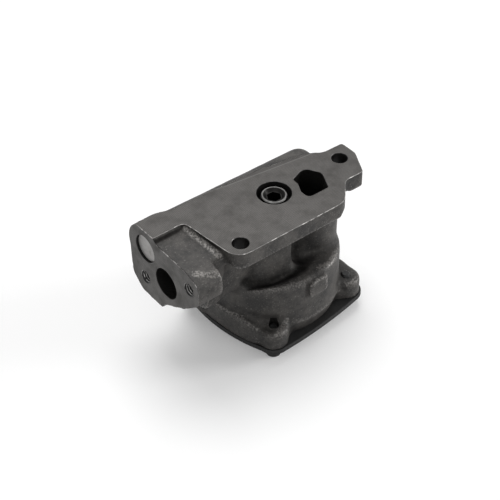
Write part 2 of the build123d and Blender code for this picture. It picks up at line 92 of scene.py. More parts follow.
# Camera, fitted to the circles and straight edges of the photograph
CAMERA_AZIMUTH = math.radians(-38.758)
CAMERA_ELEVATION = math.radians(41.535)
CAMERA_DISTANCE = 848.44 * MM
FOCAL_PIXELS = 1433.4
PHOTO_PIXELS = 500
ORIGIN_PIXEL = (274.1, 192.6)
SENSOR_WIDTH_MM = 36.0


def make_camera():
    """Camera whose picture puts the frame's origin on its pixel, at the fitted distance along the view."""
    forward = Vector((
        math.sin(-CAMERA_AZIMUTH) * math.cos(CAMERA_ELEVATION),
        math.cos(CAMERA_AZIMUTH) * math.cos(CAMERA_ELEVATION),
        -math.sin(CAMERA_ELEVATION),
    ))
    right = Vector((math.cos(CAMERA_AZIMUTH), math.sin(CAMERA_AZIMUTH), 0))
    up = right.cross(forward)
    half = PHOTO_PIXELS / 2
    across = (ORIGIN_PIXEL[0] - half) / FOCAL_PIXELS * CAMERA_DISTANCE
    above = (half - ORIGIN_PIXEL[1]) / FOCAL_PIXELS * CAMERA_DISTANCE
    data = bpy.data.cameras.new("photo_camera")
    data.sensor_width = SENSOR_WIDTH_MM
    data.lens = SENSOR_WIDTH_MM * FOCAL_PIXELS / PHOTO_PIXELS
    data.clip_start = 0.05
    data.clip_end = 20
    camera = bpy.data.objects.new("photo_camera", data)
    bpy.context.scene.collection.objects.link(camera)
    turn = Matrix((right, up, -forward)).transposed()
    camera.location = -forward * CAMERA_DISTANCE - right * across - up * above
    camera.rotation_mode = "QUATERNION"
    camera.rotation_quaternion = turn.to_quaternion()
    bpy.context.scene.camera = camera


make_camera()


# Shader helpers
class Wiring:
    """Puts nodes into one node tree and joins their sockets."""

    def __init__(self, tree):
        self.tree = tree

    def feed(self, socket, value):
        """Joins the socket to another node's output, or sets its value."""
        if isinstance(value, bpy.types.NodeSocket):
            self.tree.links.new(value, socket)
        else:
            socket.default_value = value

    def node(self, kind, inputs, **settings):
        """New node with its settings made and its named inputs fed."""
        node = self.tree.nodes.new(kind)
        for setting, value in settings.items():
            setattr(node, setting, value)
        for name, value in inputs.items():
            self.feed(node.inputs[name], value)
        return node

    def place(self):
        """Object coordinates of the surface."""
        return self.node("ShaderNodeTexCoord", {}).outputs["Object"]

    def mask(self, attribute):
        """One of the piece's own vertex masks."""
        return self.node("ShaderNodeAttribute", {}, attribute_name=attribute).outputs["Fac"]

    def math(self, operation, first, second=0.0):
        """Result of a sum on one or two values."""
        return self.node("ShaderNodeMath", {0: first, 1: second}, operation=operation).outputs[0]

    def times(self, first, second):
        """Product of two values."""
        return self.math("MULTIPLY", first, second)

    def noise(self, vector, scale, detail=3.0, roughness=0.55):
        """Fractal noise from 0 to 1."""
        inputs = {"Vector": vector, "Scale": scale, "Detail": detail, "Roughness": roughness}
        return self.node("ShaderNodeTexNoise", inputs).outputs["Fac"]

    def cells(self, vector, scale):
        """Distance to the nearest of many scattered points."""
        return self.node("ShaderNodeTexVoronoi", {"Vector": vector, "Scale": scale}).outputs["Distance"]

    def ramp(self, value, low, high, to_low=0.0, to_high=1.0):
        """Value moved from one range to another and held inside it."""
        inputs = {"Value": value, "From Min": low, "From Max": high, "To Min": to_low, "To Max": to_high}
        return self.node("ShaderNodeMapRange", inputs).outputs["Result"]

    def tint(self, factor, first, second):
        """Colour that goes from the first to the second."""
        node = self.tree.nodes.new("ShaderNodeMix")
        node.data_type = "RGBA"
        self.feed(node.inputs["Factor"], factor)
        self.feed(node.inputs["A"], first)
        self.feed(node.inputs["B"], second)
        return node.outputs["Result"]

    def effect(self, group, inputs):
        """One of the shared effects, with its own values."""
        node = self.tree.nodes.new("ShaderNodeGroup")
        node.node_tree = group
        for name, value in inputs.items():
            self.feed(node.inputs[name], value)
        return node.outputs


SOCKETS = {"value": "NodeSocketFloat", "vector": "NodeSocketVector", "color": "NodeSocketColor"}


def new_effect(name, inputs, outputs):
    """Empty node group with its named sockets: returns the group, its wiring, its inputs and outputs."""
    group = bpy.data.node_groups.new(name, "ShaderNodeTree")
    for label, kind in inputs.items():
        group.interface.new_socket(label, in_out="INPUT", socket_type=SOCKETS[kind])
    for label, kind in outputs.items():
        group.interface.new_socket(label, in_out="OUTPUT", socket_type=SOCKETS[kind])
    wiring = Wiring(group)
    start = group.nodes.new("NodeGroupInput")
    end = group.nodes.new("NodeGroupOutput")
    return group, wiring, start.outputs, end.inputs


def grey(level, warmth=0.0):
    """Colour of a grey metal, a little warmer or colder."""
    return (level * (1 + warmth), level, level * (1 - warmth), 1.0)


# Shared effects
def sand_grain_effect():
    """Skin that moulding sand leaves on iron: lumps, finer grain and small pits."""
    group, wiring, given, result = new_effect(
        "sand_grain",
        {"Place": "vector", "Grains Per Metre": "value"},
        {"Height": "value", "Tone": "value", "Specks": "value"},
    )
    place = given["Place"]
    fine_scale = given["Grains Per Metre"]
    coarse_scale = wiring.times(fine_scale, 0.3)
    broad_scale = wiring.times(fine_scale, 0.06)
    fine = wiring.noise(place, fine_scale, 2.0)
    coarse = wiring.noise(place, coarse_scale, 3.0, 0.6)
    broad = wiring.noise(place, broad_scale, 2.0)
    pits = wiring.ramp(wiring.cells(place, coarse_scale), 0.1, 0.34)
    grain = wiring.math("ADD", wiring.times(fine, 0.35), wiring.times(coarse, 0.65))
    height = wiring.math("ADD", grain, wiring.times(pits, 0.22))
    tone = wiring.math("ADD", wiring.times(broad, 0.6), wiring.times(coarse, 0.4))
    wiring.feed(result["Height"], height)
    wiring.feed(result["Tone"], wiring.ramp(tone, 0.38, 0.62))
    wiring.feed(result["Specks"], wiring.ramp(fine, 0.6, 0.74))
    return group


CUTTER_WANDER = 1.2 * MM


def cutter_marks_effect():
    """Fine arcs that a facing cutter leaves, broken up by noise, with patchy stains over them."""
    group, wiring, given, result = new_effect(
        "cutter_marks",
        {
            "Place": "vector",
            "Cutter Centre": "vector",
            "Marks Per Metre": "value",
            "Patches Per Metre": "value",
        },
        {"Height": "value", "Tone": "value", "Stain": "value"},
    )
    place = given["Place"]
    ends = {0: place, 1: given["Cutter Centre"]}
    away = wiring.node("ShaderNodeVectorMath", ends, operation="DISTANCE").outputs["Value"]
    wander = wiring.noise(place, given["Patches Per Metre"], 3.0)
    path = wiring.math("ADD", away, wiring.times(wander, CUTTER_WANDER))
    turns = wiring.times(path, given["Marks Per Metre"])
    wave = wiring.math("SINE", wiring.times(turns, 2 * math.pi))
    rough = wiring.noise(place, wiring.times(given["Marks Per Metre"], 1.4), 3.0, 0.6)
    patch = wiring.noise(place, given["Patches Per Metre"], 4.0, 0.62)
    wiring.feed(result["Height"], wiring.math("ADD", wiring.times(wave, 0.25), rough))
    wiring.feed(result["Tone"], wiring.math("ADD", wiring.times(wave, 0.18), rough))
    wiring.feed(result["Stain"], wiring.ramp(patch, 0.42, 0.68))
    return group


def rubbed_and_highlight_edge_effect():
    """Mask of the places where handling has rubbed raised edges bright, and of painted highlights on edges."""
    group, wiring, given, result = new_effect(
        "rubbed_and_highlight_edge",
        {"Place": "vector", "Edge": "value", "Patches Per Metre": "value"},
        {"Mask": "value"},
    )
    patch = wiring.noise(given["Place"], given["Patches Per Metre"], 4.0, 0.7)
    raised = wiring.times(given["Edge"], wiring.ramp(patch, 0.42, 0.64))
    wiring.feed(result["Mask"], wiring.ramp(raised, 0.08, 0.6))
    return group


def oil_and_painted_shade_effect():
    """Mask of painted shade in the hollows, and of old oil and dust in scattered patches."""
    group, wiring, given, result = new_effect(
        "oil_and_painted_shade",
        {"Place": "vector", "Hollow": "value", "Patches Per Metre": "value"},
        {"Mask": "value"},
    )
    patch = wiring.noise(given["Place"], given["Patches Per Metre"], 4.0, 0.6)
    hollow = wiring.times(given["Hollow"], wiring.ramp(patch, 0.2, 0.7, 0.6, 1.0))
    spot = wiring.ramp(patch, 0.6, 0.8, 0.0, 0.35)
    wiring.feed(result["Mask"], wiring.math("MAXIMUM", hollow, spot))
    return group


sand_grain = sand_grain_effect()
cutter_marks = cutter_marks_effect()
rubbed_and_highlight_edge = rubbed_and_highlight_edge_effect()
oil_and_painted_shade = oil_and_painted_shade_effect()


def new_finish(name, metallic, specular=0.5):
    """Material with its Principled shader's plain values set; also returns its wiring and the shader."""
    material = bpy.data.materials.new(name)
    material.use_nodes = True
    shader = material.node_tree.nodes["Principled BSDF"]
    shader.inputs["Metallic"].default_value = metallic
    shader.inputs["Specular IOR Level"].default_value = specular
    return material, Wiring(material.node_tree), shader


def dress(wiring, shader, color, roughness, height, depth):
    """Feeds the shader's colour and roughness, and a bump of the given depth in metres to its normal."""
    bump = wiring.node("ShaderNodeBump", {"Strength": 1.0, "Distance": depth, "Height": height})
    wiring.feed(shader.inputs["Base Color"], color)
    wiring.feed(shader.inputs["Roughness"], roughness)
    wiring.feed(shader.inputs["Normal"], bump.outputs["Normal"])


def tool_marks(wiring, place, centre, marks, patches):
    """Cutter marks with their own centre, marks for each metre and patches of stain for each metre."""
    return wiring.effect(cutter_marks, {
        "Place": place,
        "Cutter Centre": centre,
        "Marks Per Metre": marks,
        "Patches Per Metre": patches,
    })


# Finishes of the housing
CAST_METALLIC = 0.25
CAST_DARK = grey(0.013, 0.06)
CAST_LIGHT = grey(0.05, 0.08)
# The pale cast colour below also paints highlights on the casting's roots, ridges and lips
CAST_RUBBED_AND_HIGHLIGHT = grey(0.2, 0.06)
# The darkest colour below paints shade in hollows, bores and the shaft's socket, and oil in pores and stains
OIL_AND_SHADE_DARK = grey(0.005, 0.08)
FACE_GREY = grey(0.038, 0.06)
FACE_PALE = grey(0.066, 0.07)
FACE_STAIN = grey(0.026, 0.09)
# The bright rim colours below paint highlights along the machined rims
EDGE_BRIGHT = grey(0.7, 0.03)
EDGE_PLAIN = grey(0.13, 0.03)
HOLE_EDGE_BRIGHT = grey(0.16, 0.03)
HOLE_EDGE_PLAIN = grey(0.07, 0.03)

# Centres of the cutter's arcs; the one above the pump gives level rings in upright bores and on the shaft
MOUNTING_CUTTER = (0.012, -0.19, 0.0)
PICKUP_CUTTER = (-0.0804, 0.02, -0.16)
CUTTER_ABOVE = (0.0, 0.0, 0.4)

# Step across the mounting face: the strip beyond this line was left a hair lower and is duller
STEP_ACROSS = (0.1316, 0.9913, 0.0)
STEP_AT = 20.07 * MM
STEP_BLUR = 0.2 * MM
STEP_LINE = (0.5 * MM, 0.15 * MM)
STEP_END_X = -22 * MM
STEP_FADE = 9 * MM


def cast_iron_finish():
    """Dark sand-cast iron: mottled grain, bright specks where edges are rubbed, painted highlights on ridges
    and lips, and painted shade in the hollows. The painted shade also takes away the skin's pale mirror of the
    surround, by way of Metallic."""
    material, wiring, shader = new_finish("cast_iron", CAST_METALLIC)
    place = wiring.place()
    edge = wiring.mask("raised")
    hollow = wiring.mask("hollow")
    skin = wiring.effect(sand_grain, {"Place": place, "Grains Per Metre": 1150.0})
    rubbed_and_highlight = wiring.effect(rubbed_and_highlight_edge, {"Place": place, "Edge": edge, "Patches Per Metre": 800.0})
    oil_and_shade = wiring.effect(oil_and_painted_shade, {"Place": place, "Hollow": hollow, "Patches Per Metre": 60.0})
    skin_color = wiring.tint(skin["Tone"], CAST_DARK, CAST_LIGHT)
    specked = wiring.tint(wiring.times(skin["Specks"], 0.45), skin_color, CAST_RUBBED_AND_HIGHLIGHT)
    rubbed_and_highlighted = wiring.tint(wiring.times(rubbed_and_highlight["Mask"], 0.6), specked, CAST_RUBBED_AND_HIGHLIGHT)
    color = wiring.tint(oil_and_shade["Mask"], rubbed_and_highlighted, OIL_AND_SHADE_DARK)
    roughness = wiring.ramp(rubbed_and_highlight["Mask"], 0.0, 1.0, 0.62, 0.42)
    wiring.feed(shader.inputs["Metallic"], wiring.ramp(oil_and_shade["Mask"], 0.0, 1.0, CAST_METALLIC, 1.0))
    dress(wiring, shader, color, roughness, skin["Height"], 0.3 * MM)
    return material


def stepped_strip(wiring, place):
    """Masks of the mounting face's far strip and of the thin line along its step, both fading out at -X."""
    inputs = {0: place, 1: STEP_ACROSS}
    across = wiring.node("ShaderNodeVectorMath", inputs, operation="DOT_PRODUCT").outputs["Value"]
    along = wiring.node("ShaderNodeSeparateXYZ", {"Vector": place}).outputs["X"]
    shown = wiring.ramp(along, STEP_END_X - STEP_FADE, STEP_END_X + STEP_FADE)
    strip = wiring.ramp(across, STEP_AT - STEP_BLUR, STEP_AT + STEP_BLUR)
    away = wiring.math("ABSOLUTE", wiring.math("SUBTRACT", across, STEP_AT))
    line = wiring.ramp(away, *STEP_LINE)
    return wiring.times(strip, shown), wiring.times(line, shown)


def machined_face_finish(name, centre, marks, patches, stain_level, stepped=False):
    """Milled iron face: faint cutter arcs, cloudy stains, a few pores and, if stepped, a duller strip."""
    material, wiring, shader = new_finish(name, 0.45)
    place = wiring.place()
    cut = tool_marks(wiring, place, centre, marks, patches)
    pores = wiring.ramp(wiring.cells(place, 420.0), 0.05, 0.12, 1.0, 0.0)
    bare = wiring.tint(wiring.ramp(cut["Tone"], 0.3, 0.75), FACE_GREY, FACE_PALE)
    stained = wiring.tint(wiring.times(cut["Stain"], stain_level), bare, FACE_STAIN)
    if stepped:
        strip, line = stepped_strip(wiring, place)
        stained = wiring.tint(wiring.times(strip, 0.6), stained, FACE_STAIN)
        stained = wiring.tint(wiring.times(line, 0.5), stained, EDGE_PLAIN)
    color = wiring.tint(wiring.times(pores, 0.5), stained, OIL_AND_SHADE_DARK)
    roughness = wiring.ramp(cut["Stain"], 0.0, 1.0, 0.42, 0.55)
    dress(wiring, shader, color, roughness, cut["Height"], 0.018 * MM)
    return material


def bore_finish():
    """Bored iron: rings of the tool along the bore, painted dark for the shade inside the bores, with patches of
    oil.
    """
    material, wiring, shader = new_finish("bored_iron", 0.1, 0.15)
    place = wiring.place()
    cut = tool_marks(wiring, place, CUTTER_ABOVE, 1600.0, 110.0)
    bare = wiring.tint(wiring.ramp(cut["Tone"], 0.2, 0.9), grey(0.006, 0.04), grey(0.016, 0.05))
    color = wiring.tint(cut["Stain"], bare, OIL_AND_SHADE_DARK)
    roughness = wiring.ramp(cut["Stain"], 0.0, 1.0, 0.35, 0.5)
    dress(wiring, shader, color, roughness, cut["Height"], 0.02 * MM)
    return material


def edge_finish(name, plain, bright):
    """Thin line along a machined face's rim, where the burr is knocked off and the iron stays clean, with
    painted highlights in patches along it.
    """
    material, wiring, shader = new_finish(name, 0.6)
    place = wiring.place()
    patch = wiring.noise(place, 260.0, 4.0, 0.7)
    glint = wiring.math("MAXIMUM", wiring.ramp(patch, 0.48, 0.74), wiring.mask("raised"))
    color = wiring.tint(glint, plain, bright)
    roughness = wiring.ramp(glint, 0.0, 1.0, 0.5, 0.3)
    dress(wiring, shader, color, roughness, wiring.noise(place, 1800.0), 0.03 * MM)
    return material


def thread_finish():
    """Tapped iron thread: painted dark for the shade inside the hole, and bare crests painted bright as
    highlights.
    """
    material, wiring, shader = new_finish("tapped_thread", 0.7)
    place = wiring.place()
    patch = wiring.noise(place, 500.0, 3.0)
    crest = wiring.times(wiring.mask("raised"), wiring.ramp(patch, 0.35, 0.6))
    color = wiring.tint(crest, grey(0.006, 0.02), grey(0.4, 0.02))
    roughness = wiring.ramp(patch, 0.3, 0.7, 0.3, 0.45)
    dress(wiring, shader, color, roughness, wiring.noise(place, 2500.0), 0.01 * MM)
    return material


cast_iron = cast_iron_finish()
mounting_face = machined_face_finish(
    "mounting_face", MOUNTING_CUTTER, marks=900.0, patches=75.0, stain_level=0.8, stepped=True
)
pickup_face = machined_face_finish("pickup_face", PICKUP_CUTTER, marks=700.0, patches=110.0, stain_level=0.9)
bored_iron = bore_finish()
bright_edge = edge_finish("bright_edge", EDGE_PLAIN, EDGE_BRIGHT)
hole_edge = edge_finish("hole_edge", HOLE_EDGE_PLAIN, HOLE_EDGE_BRIGHT)
tapped_thread = thread_finish()


# Mesh helpers
def link_mesh(name, mesh):
    """New object with that mesh, at the origin."""
    piece = bpy.data.objects.new(name, mesh)
    bpy.context.scene.collection.objects.link(piece)
    return piece


def mesh_from_grid(name, grid):
    """Mesh of a grid of points, rows by columns: neighbours are joined by quads, each row closes on itself,
    and the first and last rows are capped."""
    rows, columns = grid.shape[:2]
    index = np.arange(rows * columns).reshape(rows, columns)
    after = np.roll(index, -1, axis=1)
    quads = np.stack([index[:-1], after[:-1], after[1:], index[1:]], axis=-1).reshape(-1, 4)
    faces = quads.tolist() + [index[0][::-1].tolist(), index[-1].tolist()]
    mesh = bpy.data.meshes.new(name)
    mesh.from_pydata(grid.reshape(-1, 3).tolist(), [], faces)
    mesh.update()
    return mesh


def turned_grid(radii, heights, start, direction):
    """Points of a turned shape: row by row, a circle at its own height along the direction from the start,
    with its own radius in each column."""
    columns = radii.shape[1]
    angle = np.arange(columns) / columns * 2 * math.pi
    turn = np.array(Vector(direction).to_track_quat("Z", "Y").to_matrix())
    flat = np.stack([
        radii * np.cos(angle),
        radii * np.sin(angle),
        np.broadcast_to(heights[:, None], radii.shape),
    ], axis=-1)
    return flat @ turn.T + np.array(start)


def cylinder(radius, start, end, sides=96):
    """Closed cylinder between two points: two equal circles about the line."""
    run = Vector(end) - Vector(start)
    radii = np.full((2, sides), radius)
    return mesh_from_grid("cylinder", turned_grid(radii, np.array([0.0, run.length]), start, run))


def block(low, high):
    """Closed box between two corners."""
    (x0, y0, z0), (x1, y1, z1) = low, high
    ring = np.array([(x0, y0), (x1, y0), (x1, y1), (x0, y1)])
    grid = np.stack([np.column_stack([ring, np.full(4, z)]) for z in (z0, z1)])
    return mesh_from_grid("block", grid)


def welded_copy(node):
    """Copy of a CAD node's mesh with its loose triangles merged."""
    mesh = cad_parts[node].data.copy()
    shape = bmesh.new()
    shape.from_mesh(mesh)
    bmesh.ops.remove_doubles(shape, verts=shape.verts, dist=0.001 * MM)
    shape.to_mesh(mesh)
    shape.free()
    mesh.materials.clear()
    for attribute in list(mesh.attributes):
        if attribute.name == "custom_normal":
            mesh.attributes.remove(attribute)
    return mesh


def joined(meshes):
    """One mesh that holds all of them, as they are."""
    shape = bmesh.new()
    for mesh in meshes:
        shape.from_mesh(mesh)
    result = bpy.data.meshes.new("joined")
    shape.to_mesh(result)
    shape.free()
    return result


def finished_mesh(mesh, material):
    """The same mesh with one material over all of it."""
    mesh.materials.clear()
    mesh.materials.append(material)
    mesh.polygons.foreach_set("material_index", np.zeros(len(mesh.polygons), np.int32))
    return mesh


def evaluated(piece):
    """The mesh of an object after its modifiers; the object is removed."""
    graph = bpy.context.evaluated_depsgraph_get()
    mesh = bpy.data.meshes.new_from_object(piece.evaluated_get(graph))
    bpy.data.objects.remove(piece)
    return mesh


def combined(mesh, tool, operation):
    """Boolean of two closed meshes, in which the tool's faces keep the tool's material."""
    piece = link_mesh("boolean_piece", mesh)
    cutter = link_mesh("boolean_tool", tool)
    modifier = piece.modifiers.new("cut", "BOOLEAN")
    modifier.object = cutter
    modifier.operation = operation
    modifier.solver = "MANIFOLD"
    modifier.material_mode = "TRANSFER"
    result = evaluated(piece)
    bpy.data.objects.remove(cutter)
    return result


def voxel_mesh(mesh, size):
    """Even quad mesh over the outside of closed shapes that may lie in each other."""
    piece = link_mesh("voxel_piece", mesh)
    modifier = piece.modifiers.new("voxels", "REMESH")
    modifier.mode = "VOXEL"
    modifier.voxel_size = size
    modifier.adaptivity = 0
    return evaluated(piece)


def vectors_of(items, name):
    """One vector for each vertex of a mesh, as an array."""
    flat = np.empty(len(items) * 3, np.float64)
    items.foreach_get(name, flat)
    return flat.reshape(-1, 3)


def set_points(mesh, points):
    """Moves the vertices of a mesh to the given points."""
    mesh.vertices.foreach_set("co", points.astype(np.float32).ravel())
    mesh.update()


def set_mask(mesh, name, values):
    """Stores one value from 0 to 1 for each vertex."""
    layer = mesh.attributes.new(name, "FLOAT", "POINT")
    layer.data.foreach_set("value", np.clip(values, 0, 1).astype(np.float32))


def edges_of(mesh):
    """Vertex pairs of a mesh's edges as an array."""
    flat = np.empty(len(mesh.edges) * 2, np.int32)
    mesh.edges.foreach_get("vertices", flat)
    return flat.reshape(-1, 2)


def relaxed(values, edges, rounds, strength=0.5):
    """Values of the vertices after each has moved, in every round, part of the way to its neighbours'
    mean."""
    count = np.bincount(edges.ravel(), minlength=len(values))[:, None]
    for _ in range(rounds):
        total = np.zeros_like(values)
        for axis in range(values.shape[1]):
            total[:, axis] = np.bincount(edges[:, 0], values[edges[:, 1], axis], len(values))
            total[:, axis] += np.bincount(edges[:, 1], values[edges[:, 0], axis], len(values))
        values = values + strength * (total / count - values)
    return values


def smooth_step(value, start, end):
    """Value that goes smoothly from 0 at the start to 1 at the end; the start may be the larger."""
    part = np.clip((value - start) / (end - start), 0, 1)
    return part * part * (3 - 2 * part)


def distance_to_line(points, start, end):
    """Distance of each point to the straight line between two places."""
    start, end = np.array(start), np.array(end)
    run = end - start
    part = np.clip((points - start) @ run / (run @ run), 0, 1)
    return np.linalg.norm(points - start - part[:, None] * run, axis=1)


def lattice_noise(points, cell, seed):
    """Smooth noise from -1 to 1: fixed random values on a cubic lattice, blended by smoothstep weights."""
    whole = np.floor(points / cell)
    part = points / cell - whole
    part = part * part * (3 - 2 * part)
    corner = (whole - whole.min(axis=0)).astype(int)
    values = np.random.default_rng(seed).uniform(-1, 1, corner.max(axis=0) + 2)
    total = np.zeros(len(points))
    for step in np.ndindex(2, 2, 2):
        weight = np.prod(np.where(step, part, 1 - part), axis=1)
        total += weight * values[tuple((corner + step).T)]
    return total


# Casting of the housing: size of its voxels, stock on its machined planes, depth of the slice under a plane
# that is stretched into stock, and the angle from which an edge is sharp
VOXEL = 0.8 * MM
ALLOWANCE = 4 * MM
FACE_SKIN = 0.5 * MM
SHARP_ANGLE = math.radians(35)

# Rounds of relaxation: for the skin's edges, for its roots and for forms that flow together
SKIN_ROUNDS = 6
ROOT_ROUNDS = 24
BROAD_ROUNDS = 110

# Waviness of the skin, with its broad and its small waves
WAVE_HEIGHT = 0.09 * MM
BROAD_WAVE = 11 * MM
SMALL_WAVE = 4 * MM
SMALL_WAVE_SHARE = 0.6

# Movement of the relaxed skin at which a place counts as fully hollow or fully raised
HOLLOW_MOVE = 2.0 * MM
RAISED_MOVE = 0.8 * MM

# Radii of the passages' plugs, each a little wider than its hole, and where the plugs end
SHAFT_PLUG = 12.5 * MM
OUTLET_PLUG = 14.6 * MM
CHAMBER_PLUG = 34 * MM
INLET_PLUG = 12 * MM
RELIEF_PLUG = 11 * MM
FEED_PLUG = 6 * MM
RETURN_PLUG = 5.5 * MM
PLUG_FOOT_Z = -60 * MM
CHAMBER_TOP_Z = -48.5 * MM
INLET_END_X = -19 * MM
RELIEF_END_X = 25 * MM
RETURN_X = -26.5 * MM
FEED_X = 18.5 * MM
FEED_START_Y = -3 * MM
FEED_END_Y = 22 * MM
DROP_LOW = (-34.6 * MM, -9.3 * MM, -58 * MM)
DROP_HIGH = (-18 * MM, 9.8 * MM, INLET_AXIS[1])

# Radii of the drilled holes and of the bodies that fill them up to the cast skin, and where they end
MOUNT_HOLE = 5.16 * MM
MOUNT_HOLE_END_Z = -14 * MM
MOUNT_FILLER = 6.6 * MM
MOUNT_FILLER_END_Z = -11.4 * MM
SCREW_HOLE = 3.195 * MM
SCREW_HOLE_TOP_Z = -64.65 * MM
SCREW_HOLE_SIDES = 48
SCREW_FILLER = 4.4 * MM
SCREW_FILLER_TOP_Z = -68.4 * MM
PICKUP_FILLER = 5.5 * MM
PICKUP_FILLER_END_X = -64.5 * MM

# Lines on the casting, each with its reach and its corners in millimetres: places where the cast form flows
# together round a line
SOFT_PLACES = [
    (9, [(-3.2, -23.6, -20), (-3.2, -23.6, -40)]),
    (9, [(-53, -21.5, -14), (-53, -21.5, -27)]),
    (9, [(-34, -6, -46), (-33, -13, -44)]),
    (7, [(8, -18, -22), (8, -18, -40)]),
    (5, [(41, -17.7, -12.5), (29, -31, -12.5)]),
]

# Roots and edges that are blasted or rubbed bright, and painted highlights on ridges and lips
RUBBED_AND_HIGHLIGHT_LINES = {
    "block's roof root": (3.6, [(-58, 9, -3.3), (-57, -20, -4.8)]),
    "block's shoulder": (3.2, [(-76, -23, -5.3), (-70, -27, -6.5), (-64.5, -28.8, -7.5)]),
    "roll at the column's foot": (3, [(8, -33.5, -41), (16, -34.5, -41), (25, -29.5, -41)]),
    "body's ridge": (1.8, [(29, -29.5, -73), (20, -34.7, -72.5), (13, -37.6, -71.8), (0, -39.8, -71)]),
    "end of the ridge": (1.1, [(0, -39.8, -71), (-14, -38.5, -70.5)]),
    "lug's top": (1.5, [(-2.5, -39.8, -42), (2.3, -40.6, -42), (6.8, -40.4, -42), (8.3, -41, -47.5)]),
    "lug's corner": (1.4, [(-2.8, -39.6, -52.5), (-1.5, -39.6, -54.6)]),
    "front ear's lip": (2.4, [(-18.3, -35.5, -66.8), (-22, -37, -68.3), (-29.3, -40, -69)]),
    "right ear's lip": (1.6, [(40.5, -32, -68.6), (36, -34, -68.6), (32, -33, -68.6)]),
    "wall's crest": (1.3, [(-44, 4, -66.2), (-42, -9.8, -65.5), (-38.5, -19.6, -65.3)]),
}

# Hollows and corners under the flange's edge, painted dark at full strength as shade
DEEP_SHADE_LINES = {
    "neck's foot": (5, [(-36.5, -13, -38.5), (-32.7, -18, -41.7), (-24, -24.3, -42.3)]),
    "neck's front foot": (5, [(-24, -24.3, -42.3), (-7.8, -27, -41.7), (0, -26, -41.5)]),
    "wall's foot": (2.2, [(-41, -2, -65), (-37.5, -13, -66), (-36, -16, -67)]),
    "wall's end": (3, [(-46.5, 12, -71), (-46.5, 12, -76)]),
    "roof's outer corner": (2.2, [(-79.5, 9.6, -1.6), (-58, 9.6, -1.6)]),
    "roof's inner corner": (2.2, [(-58, 9.6, -1.6), (-56, 7, -1.6), (-56, -20, -1.8)]),
}

# Hollows and faces turned from the light, painted dark as shade at part strength
FAINT_SHADE_SHARE = 0.5
FAINT_SHADE_LINES = {
    "column's corner": (4, [(0, -26, -41.5), (8.6, -20.5, -38), (16, -22.5, -39)]),
    "ear's pocket": (5.5, [(-36, -15, -67), (-30, -26.5, -67), (-24, -32, -67.5)]),
    "ear's top": (5, [(-36, -24, -66), (-34, -31, -68.5), (-32, -36, -68.8)]),
    "wall over the ear": (4, [(-34.5, -21.5, -63.5), (-24, -31.5, -64)]),
    "lug's shade": (2.4, [(-5.2, -38.7, -41.5), (-5.6, -38.9, -52)]),
    "right ear's foot": (2.6, [(30.2, -31.7, -69.4), (31, -33, -72)]),
}

# Parts of the machined rims that handling has polished, painted brighter as highlights
POLISH_SHARE = 0.6
POLISHED_AND_HIGHLIGHT_RIMS = {
    "pickup rim": (2, [(-80.4, -5, -2.6), (-80.4, -12, -4), (-80.4, -19.5, -5.2)]),
    "notch rim": (1.2, [(-57, 8, 0), (-55.5, 5, 0), (-55.5, -18, 0), (-53, -25, 0), (-46, -31, 0)]),
    "notch's end": (1.2, [(-80.4, 10.5, 0), (-60, 10.5, 0)]),
}

# Nicks in the machined rims
NICK_DROP = 0.5 * MM
NICKS = {
    "pickup rim": (1.2, [(-80.4, -15.2, -4.5), (-80.4, -16.4, -4.7)]),
    "pickup corner": (1.2, [(-80.4, -18.4, -5), (-80.4, -19.6, -5.2)]),
    "front rim": (1, [(1.6, -32.7, 0), (2.6, -32.7, 0)]),
    "left rim": (0.8, [(-18, -32.4, 0), (-17.4, -32.4, 0)]),
    "mounting ear": (1.4, [(48.5, -18, 0), (50.5, -17.4, 0)]),
    "neck rim": (0.8, [(36.3, -20.9, 0), (36.8, -20.6, 0)]),
}

# Machined rims: their width, the drop of their outer loop, and how far and how fast the drop wavers
RIM_WIDTH = 0.3 * MM
RIM_DROP = 0.26 * MM
RIM_WAVER = 0.45
RIM_WAVE = 2.2 * MM
RIM_WELD = 0.12 * MM
ON_PLANE = 0.01 * MM
FACING = 0.99

# In the pairs of limits below, a shape's move starts from nothing at the first and is full at the second.
# Rise of the shoulder's front-left part over the falling plane of the solid
SHOULDER_RISE = 3.2 * MM
RISE_TOWARDS_INLET_X = (-12 * MM, -30 * MM)
RISE_END_X = (-56 * MM, -48 * MM)
RISE_FRONT_Y = (4 * MM, -8 * MM)
RISE_BAND_Z = (-62 * MM, -47 * MM)
RISE_TOP_Z = -38 * MM

# Channel in the shoulder along the neck's foot: an arc round the neck's corner and two straight runs
NECK_ROUND_CENTRE = (-15 * MM, -4.6 * MM)
NECK_ROUND = 19 * MM
NECK_ROUND_TURN = (1.08 * math.pi, 1.5 * math.pi)
NECK_FRONT_END = (-3.2 * MM, -23.6 * MM)
COLUMN_FOOT = (6.5 * MM, -19.5 * MM)
CHANNEL_DEPTH = 3.4 * MM
CHANNEL_REACH = (9 * MM, 1.5 * MM)
LEDGE_SLOPE = (0.2, 0.7)
LEDGE_LOW_Z = -52 * MM
LEDGE_TOP_Z = -36 * MM

# Rounded lower edge of the body between the two front ears, with a low ridge over it
BODY_RADIUS = 40.6 * MM
FOOT_LEFT_DEGREES = (-122, -114)
FOOT_RIGHT_DEGREES = (-46, -54)
FOOT_FROM_RADIUS = (BODY_RADIUS - 6 * MM, BODY_RADIUS - 2 * MM)
FOOT_FROM_SCREW = (10 * MM, 13 * MM)
UNDERCUT = 2.2 * MM
UNDERCUT_Z = (-71.5 * MM, COVER_SEAT_Z - 2 * MM)
RIDGE_Z = -70.5 * MM
RIDGE_HALF_HEIGHT = 2.4 * MM
RIDGE_PROUD = 1.0 * MM

